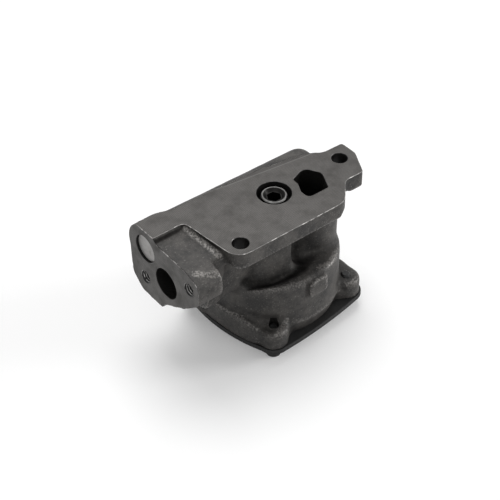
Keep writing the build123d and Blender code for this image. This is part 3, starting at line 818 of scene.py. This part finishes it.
# Trim of the ears towards their screws
EAR_TRIM = 0.8 * MM
EAR_FROM_RADIUS = (BODY_RADIUS + 1 * MM, BODY_RADIUS + 5 * MM)
EAR_FROM_SCREW = (6 * MM, 8.5 * MM)
EAR_TO_SCREW = (14 * MM, 11 * MM)
EAR_TOP_Z = -64 * MM
SMALLEST_DISTANCE = 1 * MM

# The lug's face is wider in the photograph than on the solid, and lies further towards the inlet
LUG_RIGHT_X = 9.4 * MM
LUG_SHIFT = 0.8 * MM
LUG_STRETCH = 1.17
LUG_FROM_RADIUS = (BODY_RADIUS + 0.3 * MM, BODY_RADIUS + 1.6 * MM)
LUG_FRONT_Y = -34 * MM
LUG_MIDDLE_X = 4 * MM
LUG_HALF_REACH = 11 * MM
LUG_LOW_Z = -57 * MM
LUG_TOP_Z = -38 * MM

# Machined planes: axis, place, direction that they look in, and finish
MACHINED_PLANES = [
    (2, MOUNTING_FACE_Z, 1, mounting_face),
    (0, PICKUP_FACE_X, -1, pickup_face),
    (2, COVER_SEAT_Z, -1, mounting_face),
]


def screw_axis(name):
    """Place of a cover screw's axis in plan, from the middle of its node."""
    low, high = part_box(name)
    return (low[0] + high[0]) / 2, (low[1] + high[1]) / 2


def passage_plugs():
    """Bodies that fill the cored passages and the bores inside the casting's walls. They come with the finish
    of their hole."""
    out_x, out_y = OUTLET_AXIS
    in_y, in_z = INLET_AXIS
    relief_y, relief_z = RELIEF_AXIS
    outside_x = PICKUP_FACE_X - ALLOWANCE
    chamber_foot = (*ROTOR_AXIS, COVER_SEAT_Z - ALLOWANCE)
    chamber_top = (*ROTOR_AXIS, CHAMBER_TOP_Z)
    return [
        (cylinder(SHAFT_PLUG, (0, 0, PLUG_FOOT_Z), (0, 0, ALLOWANCE)), bored_iron),
        (cylinder(OUTLET_PLUG, (out_x, out_y, PLUG_FOOT_Z), (out_x, out_y, ALLOWANCE)), bored_iron),
        (cylinder(CHAMBER_PLUG, chamber_foot, chamber_top), bored_iron),
        (cylinder(INLET_PLUG, (outside_x, in_y, in_z), (INLET_END_X, in_y, in_z)), bored_iron),
        (block(DROP_LOW, DROP_HIGH), cast_iron),
        (cylinder(RELIEF_PLUG, (outside_x, relief_y, relief_z), (RELIEF_END_X, relief_y, relief_z)), bored_iron),
        (cylinder(FEED_PLUG, (FEED_X, FEED_START_Y, relief_z), (FEED_X, FEED_END_Y, relief_z)), bored_iron),
        (cylinder(RETURN_PLUG, (RETURN_X, relief_y, relief_z), (RETURN_X, in_y, in_z)), bored_iron),
    ]


def small_hole_fillers():
    """Bodies that fill the mounting, pickup and screw holes up to the cast skin."""
    fillers = []
    for x, y in MOUNT_HOLES:
        fillers.append(cylinder(MOUNT_FILLER, (x, y, MOUNT_FILLER_END_Z), (x, y, ALLOWANCE)))
    for y, z in PICKUP_THREADS:
        start = (PICKUP_FACE_X - ALLOWANCE, y, z)
        fillers.append(cylinder(PICKUP_FILLER, start, (PICKUP_FILLER_END_X, y, z)))
    for name in SCREWS:
        x, y = screw_axis(name)
        start = (x, y, COVER_SEAT_Z - ALLOWANCE)
        fillers.append(cylinder(SCREW_FILLER, start, (x, y, SCREW_FILLER_TOP_Z)))
    return fillers


def face_slab(mesh, axis, place, direction):
    """Thin slice of the casting just under a machined plane, stretched out past it by the allowance."""
    margin = 10 * MM
    low, high = np.array(cad_low) - margin, np.array(cad_high) + margin
    if direction > 0:
        low[axis] = place - FACE_SKIN
    else:
        high[axis] = place + FACE_SKIN
    slab = combined(mesh.copy(), block(tuple(low), tuple(high)), "INTERSECT")
    points = vectors_of(slab.vertices, "co")
    outer = direction * (points[:, axis] - place) > -FACE_SKIN / 2
    points[outer, axis] += direction * ALLOWANCE
    set_points(slab, points)
    return slab


def raised_shoulder(points):
    """Points with the shoulder lifted towards the inlet: the lift grows with -X and fades down the side."""
    x, y, z = points.T
    lift = SHOULDER_RISE * smooth_step(x, *RISE_TOWARDS_INLET_X)
    lift *= smooth_step(x, *RISE_END_X) * smooth_step(y, *RISE_FRONT_Y)
    lift *= smooth_step(z, *RISE_BAND_Z) * (z < RISE_TOP_Z)
    moved = points.copy()
    moved[:, 2] += lift
    return moved


def distance_to_foot(points):
    """Distance in plan of each point to the line of the neck's foot: an arc round the neck's corner and two
    straight runs."""
    angle = np.linspace(*NECK_ROUND_TURN, 30)
    arc = np.stack([
        NECK_ROUND_CENTRE[0] + NECK_ROUND * np.cos(angle),
        NECK_ROUND_CENTRE[1] + NECK_ROUND * np.sin(angle),
    ], axis=1)
    front = np.linspace(arc[-1], NECK_FRONT_END, 12)
    side = np.linspace(NECK_FRONT_END, COLUMN_FOOT, 12)
    foot = np.concatenate([arc, front, side])
    return np.linalg.norm(points[:, None, :2] - foot[None], axis=2).min(axis=1)


def hollowed_shoulder(points, normal):
    """Points with a channel pressed into the shoulder along the neck's foot: its depth falls smoothly with
    the distance from the foot's line."""
    ledge = smooth_step(normal[:, 2], *LEDGE_SLOPE)
    ledge *= (points[:, 2] < LEDGE_TOP_Z) & (points[:, 2] > LEDGE_LOW_Z)
    chosen = ledge > 0
    depth = CHANNEL_DEPTH * smooth_step(distance_to_foot(points[chosen]), *CHANNEL_REACH)
    moved = points.copy()
    moved[chosen, 2] -= depth * ledge[chosen]
    return moved


def shaped_foot(points):
    """Points with the body's lower edge rounded in between the front ears, and the ears trimmed a little
    towards their screws. Above the rounded edge the ridge stands out, as a bell curve over the height."""
    moved = points.copy()
    from_body = points[:, :2] - np.array(ROTOR_AXIS)
    radius = np.linalg.norm(from_body, axis=1)
    axes = np.array([screw_axis(name) for name in SCREWS])
    to_screws = np.linalg.norm(points[:, None, :2] - axes[None], axis=2)
    nearest = to_screws.min(axis=1)
    direction = np.degrees(np.arctan2(from_body[:, 1], from_body[:, 0]))
    sector = smooth_step(direction, *FOOT_LEFT_DEGREES) * smooth_step(direction, *FOOT_RIGHT_DEGREES)
    outside = smooth_step(radius, *FOOT_FROM_RADIUS)
    clear = smooth_step(nearest, *FOOT_FROM_SCREW)
    fall = smooth_step(points[:, 2], *UNDERCUT_Z)
    ridge = np.exp(-((points[:, 2] - RIDGE_Z) / RIDGE_HALF_HEIGHT) ** 2)
    inwards = (UNDERCUT * fall - RIDGE_PROUD * ridge) * sector * outside * clear
    moved[:, :2] -= (from_body / radius[:, None]) * inwards[:, None]
    from_screw = points[:, :2] - axes[to_screws.argmin(axis=1)]
    trim = EAR_TRIM * smooth_step(nearest, *EAR_FROM_SCREW) * smooth_step(nearest, *EAR_TO_SCREW)
    trim *= smooth_step(radius, *EAR_FROM_RADIUS) * (points[:, 2] < EAR_TOP_Z)
    moved[:, :2] -= from_screw / np.maximum(nearest, SMALLEST_DISTANCE)[:, None] * trim[:, None]
    return moved


def widened_lug(points):
    """Points with the proud part of the lug stretched along X about its right edge."""
    x, y, z = points.T
    radius = np.linalg.norm(points[:, :2] - np.array(ROTOR_AXIS), axis=1)
    proud = smooth_step(radius, *LUG_FROM_RADIUS)
    proud *= (y < LUG_FRONT_Y) & (np.abs(x - LUG_MIDDLE_X) < LUG_HALF_REACH)
    proud *= (z < LUG_TOP_Z) & (z > LUG_LOW_Z)
    moved = points.copy()
    moved[:, 0] += proud * ((x - LUG_RIGHT_X) * (LUG_STRETCH - 1) - LUG_SHIFT)
    return moved


def flowed_together(points, edges):
    """Points moved towards a broadly relaxed form, fully on the soft places' lines and less with distance."""
    broad = relaxed(points, edges, BROAD_ROUNDS)
    return points + painted(points, SOFT_PLACES)[:, None] * (broad - points)


def painted(points, lines):
    """Mask that is 1 near each of the given lines and fades to 0 at its reach."""
    mask = np.zeros(len(points))
    for reach, corners in lines:
        places = np.array(corners) * MM
        for start, end in zip(places, places[1:]):
            away = distance_to_line(points, start, end) / MM
            mask = np.maximum(mask, smooth_step(away, reach, reach / 3))
    return mask


def cast_blank(solid):
    """Rough casting before machining: the solid with its holes filled and stock on its machined planes, its
    roots filled and edges rounded by moving each point towards its neighbours, and its skin made wavy."""
    slabs = [face_slab(solid, axis, place, direction) for axis, place, direction, finish in MACHINED_PLANES]
    plugs = [plug for plug, finish in passage_plugs()]
    blank = voxel_mesh(joined([solid, *plugs, *small_hole_fillers(), *slabs]), VOXEL)
    edges = edges_of(blank)
    rough = vectors_of(blank.vertices, "co")
    rough = hollowed_shoulder(raised_shoulder(rough), vectors_of(blank.vertices, "normal"))
    rough = widened_lug(shaped_foot(rough))
    skin = flowed_together(relaxed(rough, edges, SKIN_ROUNDS), edges)
    set_points(blank, skin)
    normal = vectors_of(blank.vertices, "normal")
    rise = ((relaxed(skin, edges, ROOT_ROUNDS) - skin) * normal).sum(axis=1)
    broad_rise = ((relaxed(skin, edges, BROAD_ROUNDS) - skin) * normal).sum(axis=1)
    wave = lattice_noise(skin, BROAD_WAVE, 4) + SMALL_WAVE_SHARE * lattice_noise(skin, SMALL_WAVE, 5)
    lift = np.clip(rise, 0, None) + WAVE_HEIGHT * wave
    outside = skin + lift[:, None] * normal
    outside[:, 0] = np.minimum(outside[:, 0], cad_high.x)
    set_points(blank, outside)
    # The rubbed mask also holds painted highlights, and the hollow mask is painted shade from the concavity and
    # the listed lines
    rubbed_and_highlight = painted(skin, RUBBED_AND_HIGHLIGHT_LINES.values())
    stained = FAINT_SHADE_SHARE * painted(skin, FAINT_SHADE_LINES.values())
    painted_shade = np.maximum(stained, painted(skin, DEEP_SHADE_LINES.values()))
    set_mask(blank, "hollow", np.maximum(broad_rise / HOLLOW_MOVE, painted_shade) * (1 - rubbed_and_highlight))
    set_mask(blank, "raised", np.maximum(-rise / RAISED_MOVE, rubbed_and_highlight))
    return finished_mesh(blank, cast_iron)


# Tapped holes of the pickup face: 18 threads to the inch
THREAD_PITCH = 1.411 * MM
THREAD_MINOR = 3.3 * MM
THREAD_MAJOR = 3.95 * MM
THREAD_MOUTH = 4.4 * MM
THREAD_DEPTH = 14.5 * MM
THREAD_COLUMNS = 48
ROWS_PER_THREAD = 8


def thread_wave(heights, columns, pitch):
    """Triangle wave from 0 to 1 of a thread: it climbs one pitch in each turn round the axis."""
    turn = np.arange(columns) / columns
    phase = (heights[:, None] / pitch - turn) % 1
    return 1 - np.abs(2 * phase - 1)


def thread_cutter(y, z):
    """Rod in the shape of a tapped hole: the minor radius plus the thread's wave, and the countersunk
    mouth's cone where that is wider."""
    rows = int(THREAD_DEPTH / THREAD_PITCH * ROWS_PER_THREAD)
    depth = np.concatenate([[-ALLOWANCE, 0.0], np.linspace(0.05 * MM, THREAD_DEPTH, rows)])
    wave = thread_wave(depth, THREAD_COLUMNS, THREAD_PITCH)
    thread = THREAD_MINOR + (THREAD_MAJOR - THREAD_MINOR) * wave
    cone = THREAD_MOUTH - np.clip(depth, 0, None)
    radii = np.maximum(thread, cone[:, None])
    mesh = mesh_from_grid("thread", turned_grid(radii, depth, (PICKUP_FACE_X, y, z), (1, 0, 0)))
    # The crests' mask places the thread's painted highlights
    set_mask(mesh, "raised", smooth_step(wave, 0.5, 0.2).ravel())
    return finished_mesh(mesh, tapped_thread)


def hole_cutters(solid):
    """Bodies in the exact shape of each hole: a plug less the solid, and rods for the drilled holes."""
    cutters = []
    for plug, finish in passage_plugs():
        cutters.append(finished_mesh(combined(plug, solid.copy(), "DIFFERENCE"), finish))
    for x, y in MOUNT_HOLES:
        rod = cylinder(MOUNT_HOLE, (x, y, MOUNT_HOLE_END_Z), (x, y, ALLOWANCE))
        cutters.append(finished_mesh(rod, bored_iron))
    for name in SCREWS:
        x, y = screw_axis(name)
        start = (x, y, COVER_SEAT_Z - ALLOWANCE)
        rod = cylinder(SCREW_HOLE, start, (x, y, SCREW_HOLE_TOP_Z), SCREW_HOLE_SIDES)
        cutters.append(finished_mesh(rod, bored_iron))
    cutters.extend(thread_cutter(y, z) for y, z in PICKUP_THREADS)
    return cutters


def slot_of(mesh, material):
    """Number of a material's slot on a mesh; the slot is added if it is missing."""
    if material.name not in mesh.materials:
        mesh.materials.append(material)
    return mesh.materials.find(material.name)


def joined_groups(faces):
    """Groups of faces that touch edge to edge."""
    left = set(faces)
    groups = []
    while left:
        group = [left.pop()]
        for face in group:
            near = {other for edge in face.edges for other in edge.link_faces} & left
            left -= near
            group.extend(near)
        groups.append(group)
    return groups


def faces_on(shape, axis, place, direction):
    """Faces of the shape that lie on a machined plane and look out of it."""
    return [
        face for face in shape.faces
        if face.normal[axis] * direction > FACING
        and abs(face.calc_center_median()[axis] - place) < ON_PLANE
    ]


def rimmed_face(mesh, axis, place, direction, finish):
    """Gives a machined plane its finish and a narrow knocked-off rim: the plane's faces are inset by the rim's
    width, and the outer loop of points drops by an amount that wavers a little along the edge."""
    face_slot = slot_of(mesh, finish)
    rim_slot = slot_of(mesh, bright_edge)
    hole_slot = slot_of(mesh, hole_edge)
    shape = bmesh.new()
    shape.from_mesh(mesh)
    inside = set(faces_on(shape, axis, place, direction))
    border = {
        vert for face in inside for edge in face.edges
        if any(other not in inside for other in edge.link_faces)
        for vert in edge.verts
    }
    bmesh.ops.remove_doubles(shape, verts=list(border), dist=RIM_WELD)
    plane = faces_on(shape, axis, place, direction)
    for face in plane:
        face.material_index = face_slot
    band = bmesh.ops.inset_region(
        shape,
        faces=plane,
        thickness=RIM_WIDTH,
        use_boundary=True,
        use_even_offset=False,
    )["faces"]
    inner = {vert for face in plane for vert in face.verts}
    outer = {vert for face in band for vert in face.verts} - inner
    groups = joined_groups(band)
    longest = max(len(group) for group in groups)
    for group in groups:
        for face in group:
            face.material_index = rim_slot if len(group) == longest else hole_slot
            for edge in face.edges:
                ends = set(edge.verts)
                if ends <= inner or ends <= outer:
                    edge.smooth = False
    lowered = list(outer)
    places = np.array([vert.co for vert in lowered])
    nicked = painted(places, NICKS.values())
    drops = RIM_DROP * (1 + RIM_WAVER * lattice_noise(places, RIM_WAVE, 6)) + NICK_DROP * nicked
    polish_and_highlight = np.maximum(POLISH_SHARE * painted(places, POLISHED_AND_HIGHLIGHT_RIMS.values()), nicked)
    layer = shape.verts.layers.float["raised"]
    for vert, drop, shine in zip(lowered, drops, polish_and_highlight):
        vert.co[axis] -= direction * drop
        vert[layer] = shine
    for vert in inner:
        vert[layer] = 0
    shape.to_mesh(mesh)
    shape.free()
    mesh.update()


def make_casting():
    """Housing as a machined casting: the blank cut to its planes and holes, with crisp rims on the planes."""
    solid = welded_copy("housing")
    blank = cast_blank(solid)
    envelope = block((PICKUP_FACE_X, -1, COVER_SEAT_Z), (1, 1, MOUNTING_FACE_Z))
    mesh = combined(blank, finished_mesh(envelope, mounting_face), "INTERSECT")
    for cutter in hole_cutters(solid):
        mesh = combined(mesh, cutter, "DIFFERENCE")
    mesh.shade_smooth()
    mesh.set_sharp_from_angle(angle=SHARP_ANGLE)
    for machined_plane in MACHINED_PLANES:
        rimmed_face(mesh, *machined_plane)
    return link_mesh("casting", mesh)


casting = make_casting()
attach(casting, "casing")
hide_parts("housing")


# Black and steel finishes, with the inner edge of the clean ring on the shaft's end and the depths between
# which its sides are painted dark as shade
SHAFT_RING_EDGE = (6.9 * MM, 6.6 * MM)
SHAFT_DARK_Z = (-1.7 * MM, -2.3 * MM)
PLUG_CUTTER = (-0.48, 0.02, -0.014)


def black_finish(name, level, rough):
    """Black oxide or phosphate: nearly black, with a fine dull grain and grey rubs."""
    material, wiring, shader = new_finish(name, 0.0, 0.3)
    place = wiring.place()
    skin = wiring.effect(sand_grain, {"Place": place, "Grains Per Metre": 2600.0})
    coat = wiring.tint(skin["Tone"], grey(level * 0.8), grey(level * 1.3))
    color = wiring.tint(wiring.times(skin["Specks"], 0.25), coat, grey(0.12))
    roughness = wiring.ramp(skin["Tone"], 0.0, 1.0, rough, rough + 0.12)
    dress(wiring, shader, color, roughness, skin["Height"], 0.03 * MM)
    return material


def shaft_painted_shade(wiring, place):
    """Mask of the shaft's painted shade: the socket's mouth inside a thin clean ring, and the sides below."""
    part = wiring.node("ShaderNodeSeparateXYZ", {"Vector": place}).outputs
    square = wiring.math("ADD", wiring.math("POWER", part["X"], 2.0), wiring.math("POWER", part["Y"], 2.0))
    mouth = wiring.ramp(wiring.math("SQRT", square), *SHAFT_RING_EDGE)
    return wiring.math("MAXIMUM", mouth, wiring.ramp(part["Z"], *SHAFT_DARK_Z))


def steel_finish(name, dark, light, rough, marks, centre=CUTTER_ABOVE, painted_shade_mask=None):
    """Turned or ground steel: fine tool rings, with cloudy stains that dull it, and painted shade where a mask
    says.
    """
    material, wiring, shader = new_finish(name, 0.85)
    place = wiring.place()
    cut = tool_marks(wiring, place, centre, marks, 160.0)
    bare = wiring.tint(wiring.ramp(cut["Tone"], 0.2, 0.9), grey(dark, 0.02), grey(light, 0.02))
    color = wiring.tint(wiring.times(cut["Stain"], 0.45), bare, grey(dark * 0.5, 0.05))
    if painted_shade_mask:
        color = wiring.tint(painted_shade_mask(wiring, place), color, OIL_AND_SHADE_DARK)
    roughness = wiring.ramp(cut["Stain"], 0.0, 1.0, rough, rough + 0.15)
    dress(wiring, shader, color, roughness, cut["Height"], 0.01 * MM)
    return material


black_cover = black_finish("black_phosphate", 0.005, 0.55)
black_screw = black_finish("black_oxide", 0.006, 0.42)
washer_steel = steel_finish("washer_steel", 0.05, 0.09, 0.45, 1500.0)
shaft_steel = steel_finish("shaft_steel", 0.1, 0.17, 0.34, 2200.0, painted_shade_mask=shaft_painted_shade)
rotor_steel = steel_finish("rotor_steel", 0.22, 0.34, 0.4, 1200.0)
valve_steel = steel_finish("valve_steel", 0.3, 0.42, 0.3, 1800.0)
plug_steel = steel_finish("plug_steel", 0.3, 0.34, 0.46, 2600.0, PLUG_CUTTER)

NODE_FINISHES = {
    "cover_plate": black_cover,
    "lock_washer_1": washer_steel,
    "lock_washer_2": washer_steel,
    "lock_washer_3": washer_steel,
    "lock_washer_4": washer_steel,
    "drive_shaft": shaft_steel,
    "rotor_pin": valve_steel,
    "inner_rotor": rotor_steel,
    "outer_rotor": rotor_steel,
    "relief_plug": plug_steel,
    "relief_plunger": valve_steel,
    "relief_spring": valve_steel,
}
for node_name, node_finish in NODE_FINISHES.items():
    finished_mesh(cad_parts[node_name].data, node_finish)


# Cover screws: 1/4 inch socket-head cap screws with 20 threads to the inch
SCREW_COLUMNS = 96
SCREW_PITCH = 1.27 * MM
SCREW_MAJOR = 3.15 * MM
SCREW_MINOR = 2.5 * MM
HEAD_RADIUS = 4.76 * MM
HEAD_HEIGHT = 6.35 * MM
HEAD_BAND = HEAD_RADIUS - 0.15 * MM
SOCKET_HALF_FLATS = 2.38 * MM
SOCKET_MOUTH = 2.75 * MM
SOCKET_DEPTH = 3.2 * MM
KNURL_DEPTH = 0.14 * MM
KNURL_LOW = 0.9 * MM
KNURL_HIGH = 5.4 * MM
POINT_BEVEL = 0.35 * MM
SMALLEST_RADIUS = 0.02 * MM


def cap_screw(name, shortening):
    """Socket-head cap screw as one turned surface. Its rows run from the middle of the socket's floor, whose
    radius is the half flats over the cosine of the angle from the nearest flat, out over the knurled head,
    along the shank, whose radius follows the thread's wave, and over the point to its middle."""
    low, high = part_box("cover_" + name)
    x, y = screw_axis("cover_" + name)
    angle = np.arange(SCREW_COLUMNS) / SCREW_COLUMNS * 2 * math.pi
    sixth = math.pi / 3
    hexagon = SOCKET_HALF_FLATS / np.cos((angle + sixth / 2) % sixth - sixth / 2)
    knurl = HEAD_RADIUS - KNURL_DEPTH * (np.arange(SCREW_COLUMNS) % 2)
    end = high[2] - low[2] - shortening
    shank = np.arange(HEAD_HEIGHT + 0.2 * MM, end - 0.6 * MM, SCREW_PITCH / ROWS_PER_THREAD)
    wave = thread_wave(shank, SCREW_COLUMNS, SCREW_PITCH)
    head_rows = [
        (SMALLEST_RADIUS, SOCKET_DEPTH),
        (0.9 * hexagon, SOCKET_DEPTH),
        (hexagon, SOCKET_DEPTH - 0.2 * MM),
        (hexagon, 0.3 * MM),
        (np.maximum(hexagon, SOCKET_MOUTH), 0.0),
        (HEAD_RADIUS - 0.7 * MM, 0.0),
        (HEAD_RADIUS - 0.25 * MM, 0.25 * MM),
        (HEAD_BAND, 0.7 * MM),
        (knurl, KNURL_LOW),
        (knurl, KNURL_HIGH),
        (HEAD_BAND, 5.6 * MM),
        (HEAD_BAND, HEAD_HEIGHT - 0.2 * MM),
        (HEAD_RADIUS - 0.35 * MM, HEAD_HEIGHT),
        (SCREW_MAJOR, HEAD_HEIGHT),
    ]
    thread_rows = list(zip(SCREW_MINOR + (SCREW_MAJOR - SCREW_MINOR) * wave, shank))
    end_rows = [
        (SCREW_MINOR, end - POINT_BEVEL),
        (SCREW_MINOR - POINT_BEVEL, end),
        (SMALLEST_RADIUS, end),
    ]
    rows = head_rows + thread_rows + end_rows
    radii = np.stack([np.ones(SCREW_COLUMNS) * radius for radius, height in rows])
    heights = np.array([height for radius, height in rows])
    mesh = mesh_from_grid(name, turned_grid(radii, heights, (x, y, low[2]), (0, 0, 1)))
    mesh.shade_smooth()
    mesh.set_sharp_from_angle(angle=SHARP_ANGLE)
    screw = link_mesh(name, finished_mesh(mesh, black_screw))
    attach(screw, "casing")
    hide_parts("cover_" + name)


# The front ear's screw ends just inside its hole, the others stand a little proud
cap_screw("screw_1", 2.9 * MM)
for number in (2, 3, 4):
    cap_screw("screw_" + str(number), 0.9 * MM)


# Relief spring: it closes up as the plunger slides
SPRING_TURNS = 8
SPRING_WIRE = 0.9 * MM
SPRING_END_CLOSING = 0.08
SPRING_STEPS = 320
WIRE_COLUMNS = 16


def coil_spring():
    """Tube along a helix: the angle grows evenly, and the advance along -X is slower at both ends, where the
    turns lie closer. Each row is a circle of the wire in the radial and axial directions."""
    low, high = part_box("relief_spring")
    middle = (np.array(low) + np.array(high)) / 2
    radius = (high[1] - low[1]) / 2 - SPRING_WIRE
    length = high[0] - low[0] - 2 * SPRING_WIRE
    share = np.linspace(0, 1, SPRING_STEPS)[:, None]
    angle = 2 * math.pi * SPRING_TURNS * share
    advance = share - SPRING_END_CLOSING * np.sin(2 * math.pi * share)
    around = np.arange(WIRE_COLUMNS)[None] / WIRE_COLUMNS * 2 * math.pi
    reach = radius + SPRING_WIRE * np.cos(around)
    grid = np.stack([
        high[0] - SPRING_WIRE - length * advance - SPRING_WIRE * np.sin(around),
        middle[1] + reach * np.cos(angle),
        middle[2] + reach * np.sin(angle),
    ], axis=-1)
    mesh = mesh_from_grid("relief_coil", grid)
    mesh.shade_smooth()
    coil = link_mesh("relief_coil", finished_mesh(mesh, valve_steel))
    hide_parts("relief_spring")
    plug_end = (low[0], middle[1], middle[2])
    plunger_end = (high[0], middle[1], middle[2])
    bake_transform(coil, "casing", "plunger", start=plug_end, end=plunger_end)


coil_spring()


# Floor and surround are white to the camera, to mirrors and to glass, and dim for the light itself
FLOOR_GLOW = 0.18
FLOOR_HALF_SIZE = 3
FLOOR_THICKNESS = 10 * MM
SURROUND_LIGHT = 0.4


def seen(wiring):
    """1 on rays from the camera, from mirrors and through glass, and 0 on the light's own."""
    path = wiring.node("ShaderNodeLightPath", {}).outputs
    seen_or_mirrored = wiring.math("MAXIMUM", path["Is Camera Ray"], path["Is Glossy Ray"])
    return wiring.math("MAXIMUM", seen_or_mirrored, path["Is Transmission Ray"])


# Floor: it keeps the pump's soft shadow
floor_low = (-FLOOR_HALF_SIZE, -FLOOR_HALF_SIZE, cad_low.z - FLOOR_THICKNESS)
floor_high = (FLOOR_HALF_SIZE, FLOOR_HALF_SIZE, cad_low.z)
floor = link_mesh("floor", block(floor_low, floor_high))
floor_finish, floor_wiring, floor_shader = new_finish("white_floor", 0.0, 0.1)
floor_shader.inputs["Base Color"].default_value = (0.8, 0.8, 0.8, 1)
floor_shader.inputs["Roughness"].default_value = 0.9
floor_shader.inputs["Emission Strength"].default_value = FLOOR_GLOW
floor_wiring.feed(floor_shader.inputs["Emission Color"], seen(floor_wiring))
floor.data.materials.append(floor_finish)

# Studio
world = bpy.data.worlds.new("studio")
bpy.context.scene.world = world
world.use_nodes = True
studio = Wiring(world.node_tree)
surround = world.node_tree.nodes["Background"]
surround.inputs["Strength"].default_value = 1.0
studio.feed(surround.inputs["Color"], studio.ramp(seen(studio), 0.0, 1.0, SURROUND_LIGHT, 1.0))


def soft_box(name, place, size, power):
    """Square lamp that looks at the pump: its side is in metres and its power in watts."""
    data = bpy.data.lights.new(name, "AREA")
    data.size = size
    data.energy = power
    lamp = bpy.data.objects.new(name, data)
    bpy.context.scene.collection.objects.link(lamp)
    lamp.location = place
    lamp.rotation_mode = "QUATERNION"
    lamp.rotation_quaternion = (-Vector(place)).to_track_quat("-Z", "Y").copy()


soft_box("key", place=(0.22, 0.42, 1.1), size=0.8, power=9.5)
soft_box("side", place=(2.18, -1.37, 0.71), size=0.95, power=41)
soft_box("fill", place=(-0.7, -0.5, 0.6), size=0.9, power=2.5)
bpy.context.scene.view_settings.view_transform = "Standard"
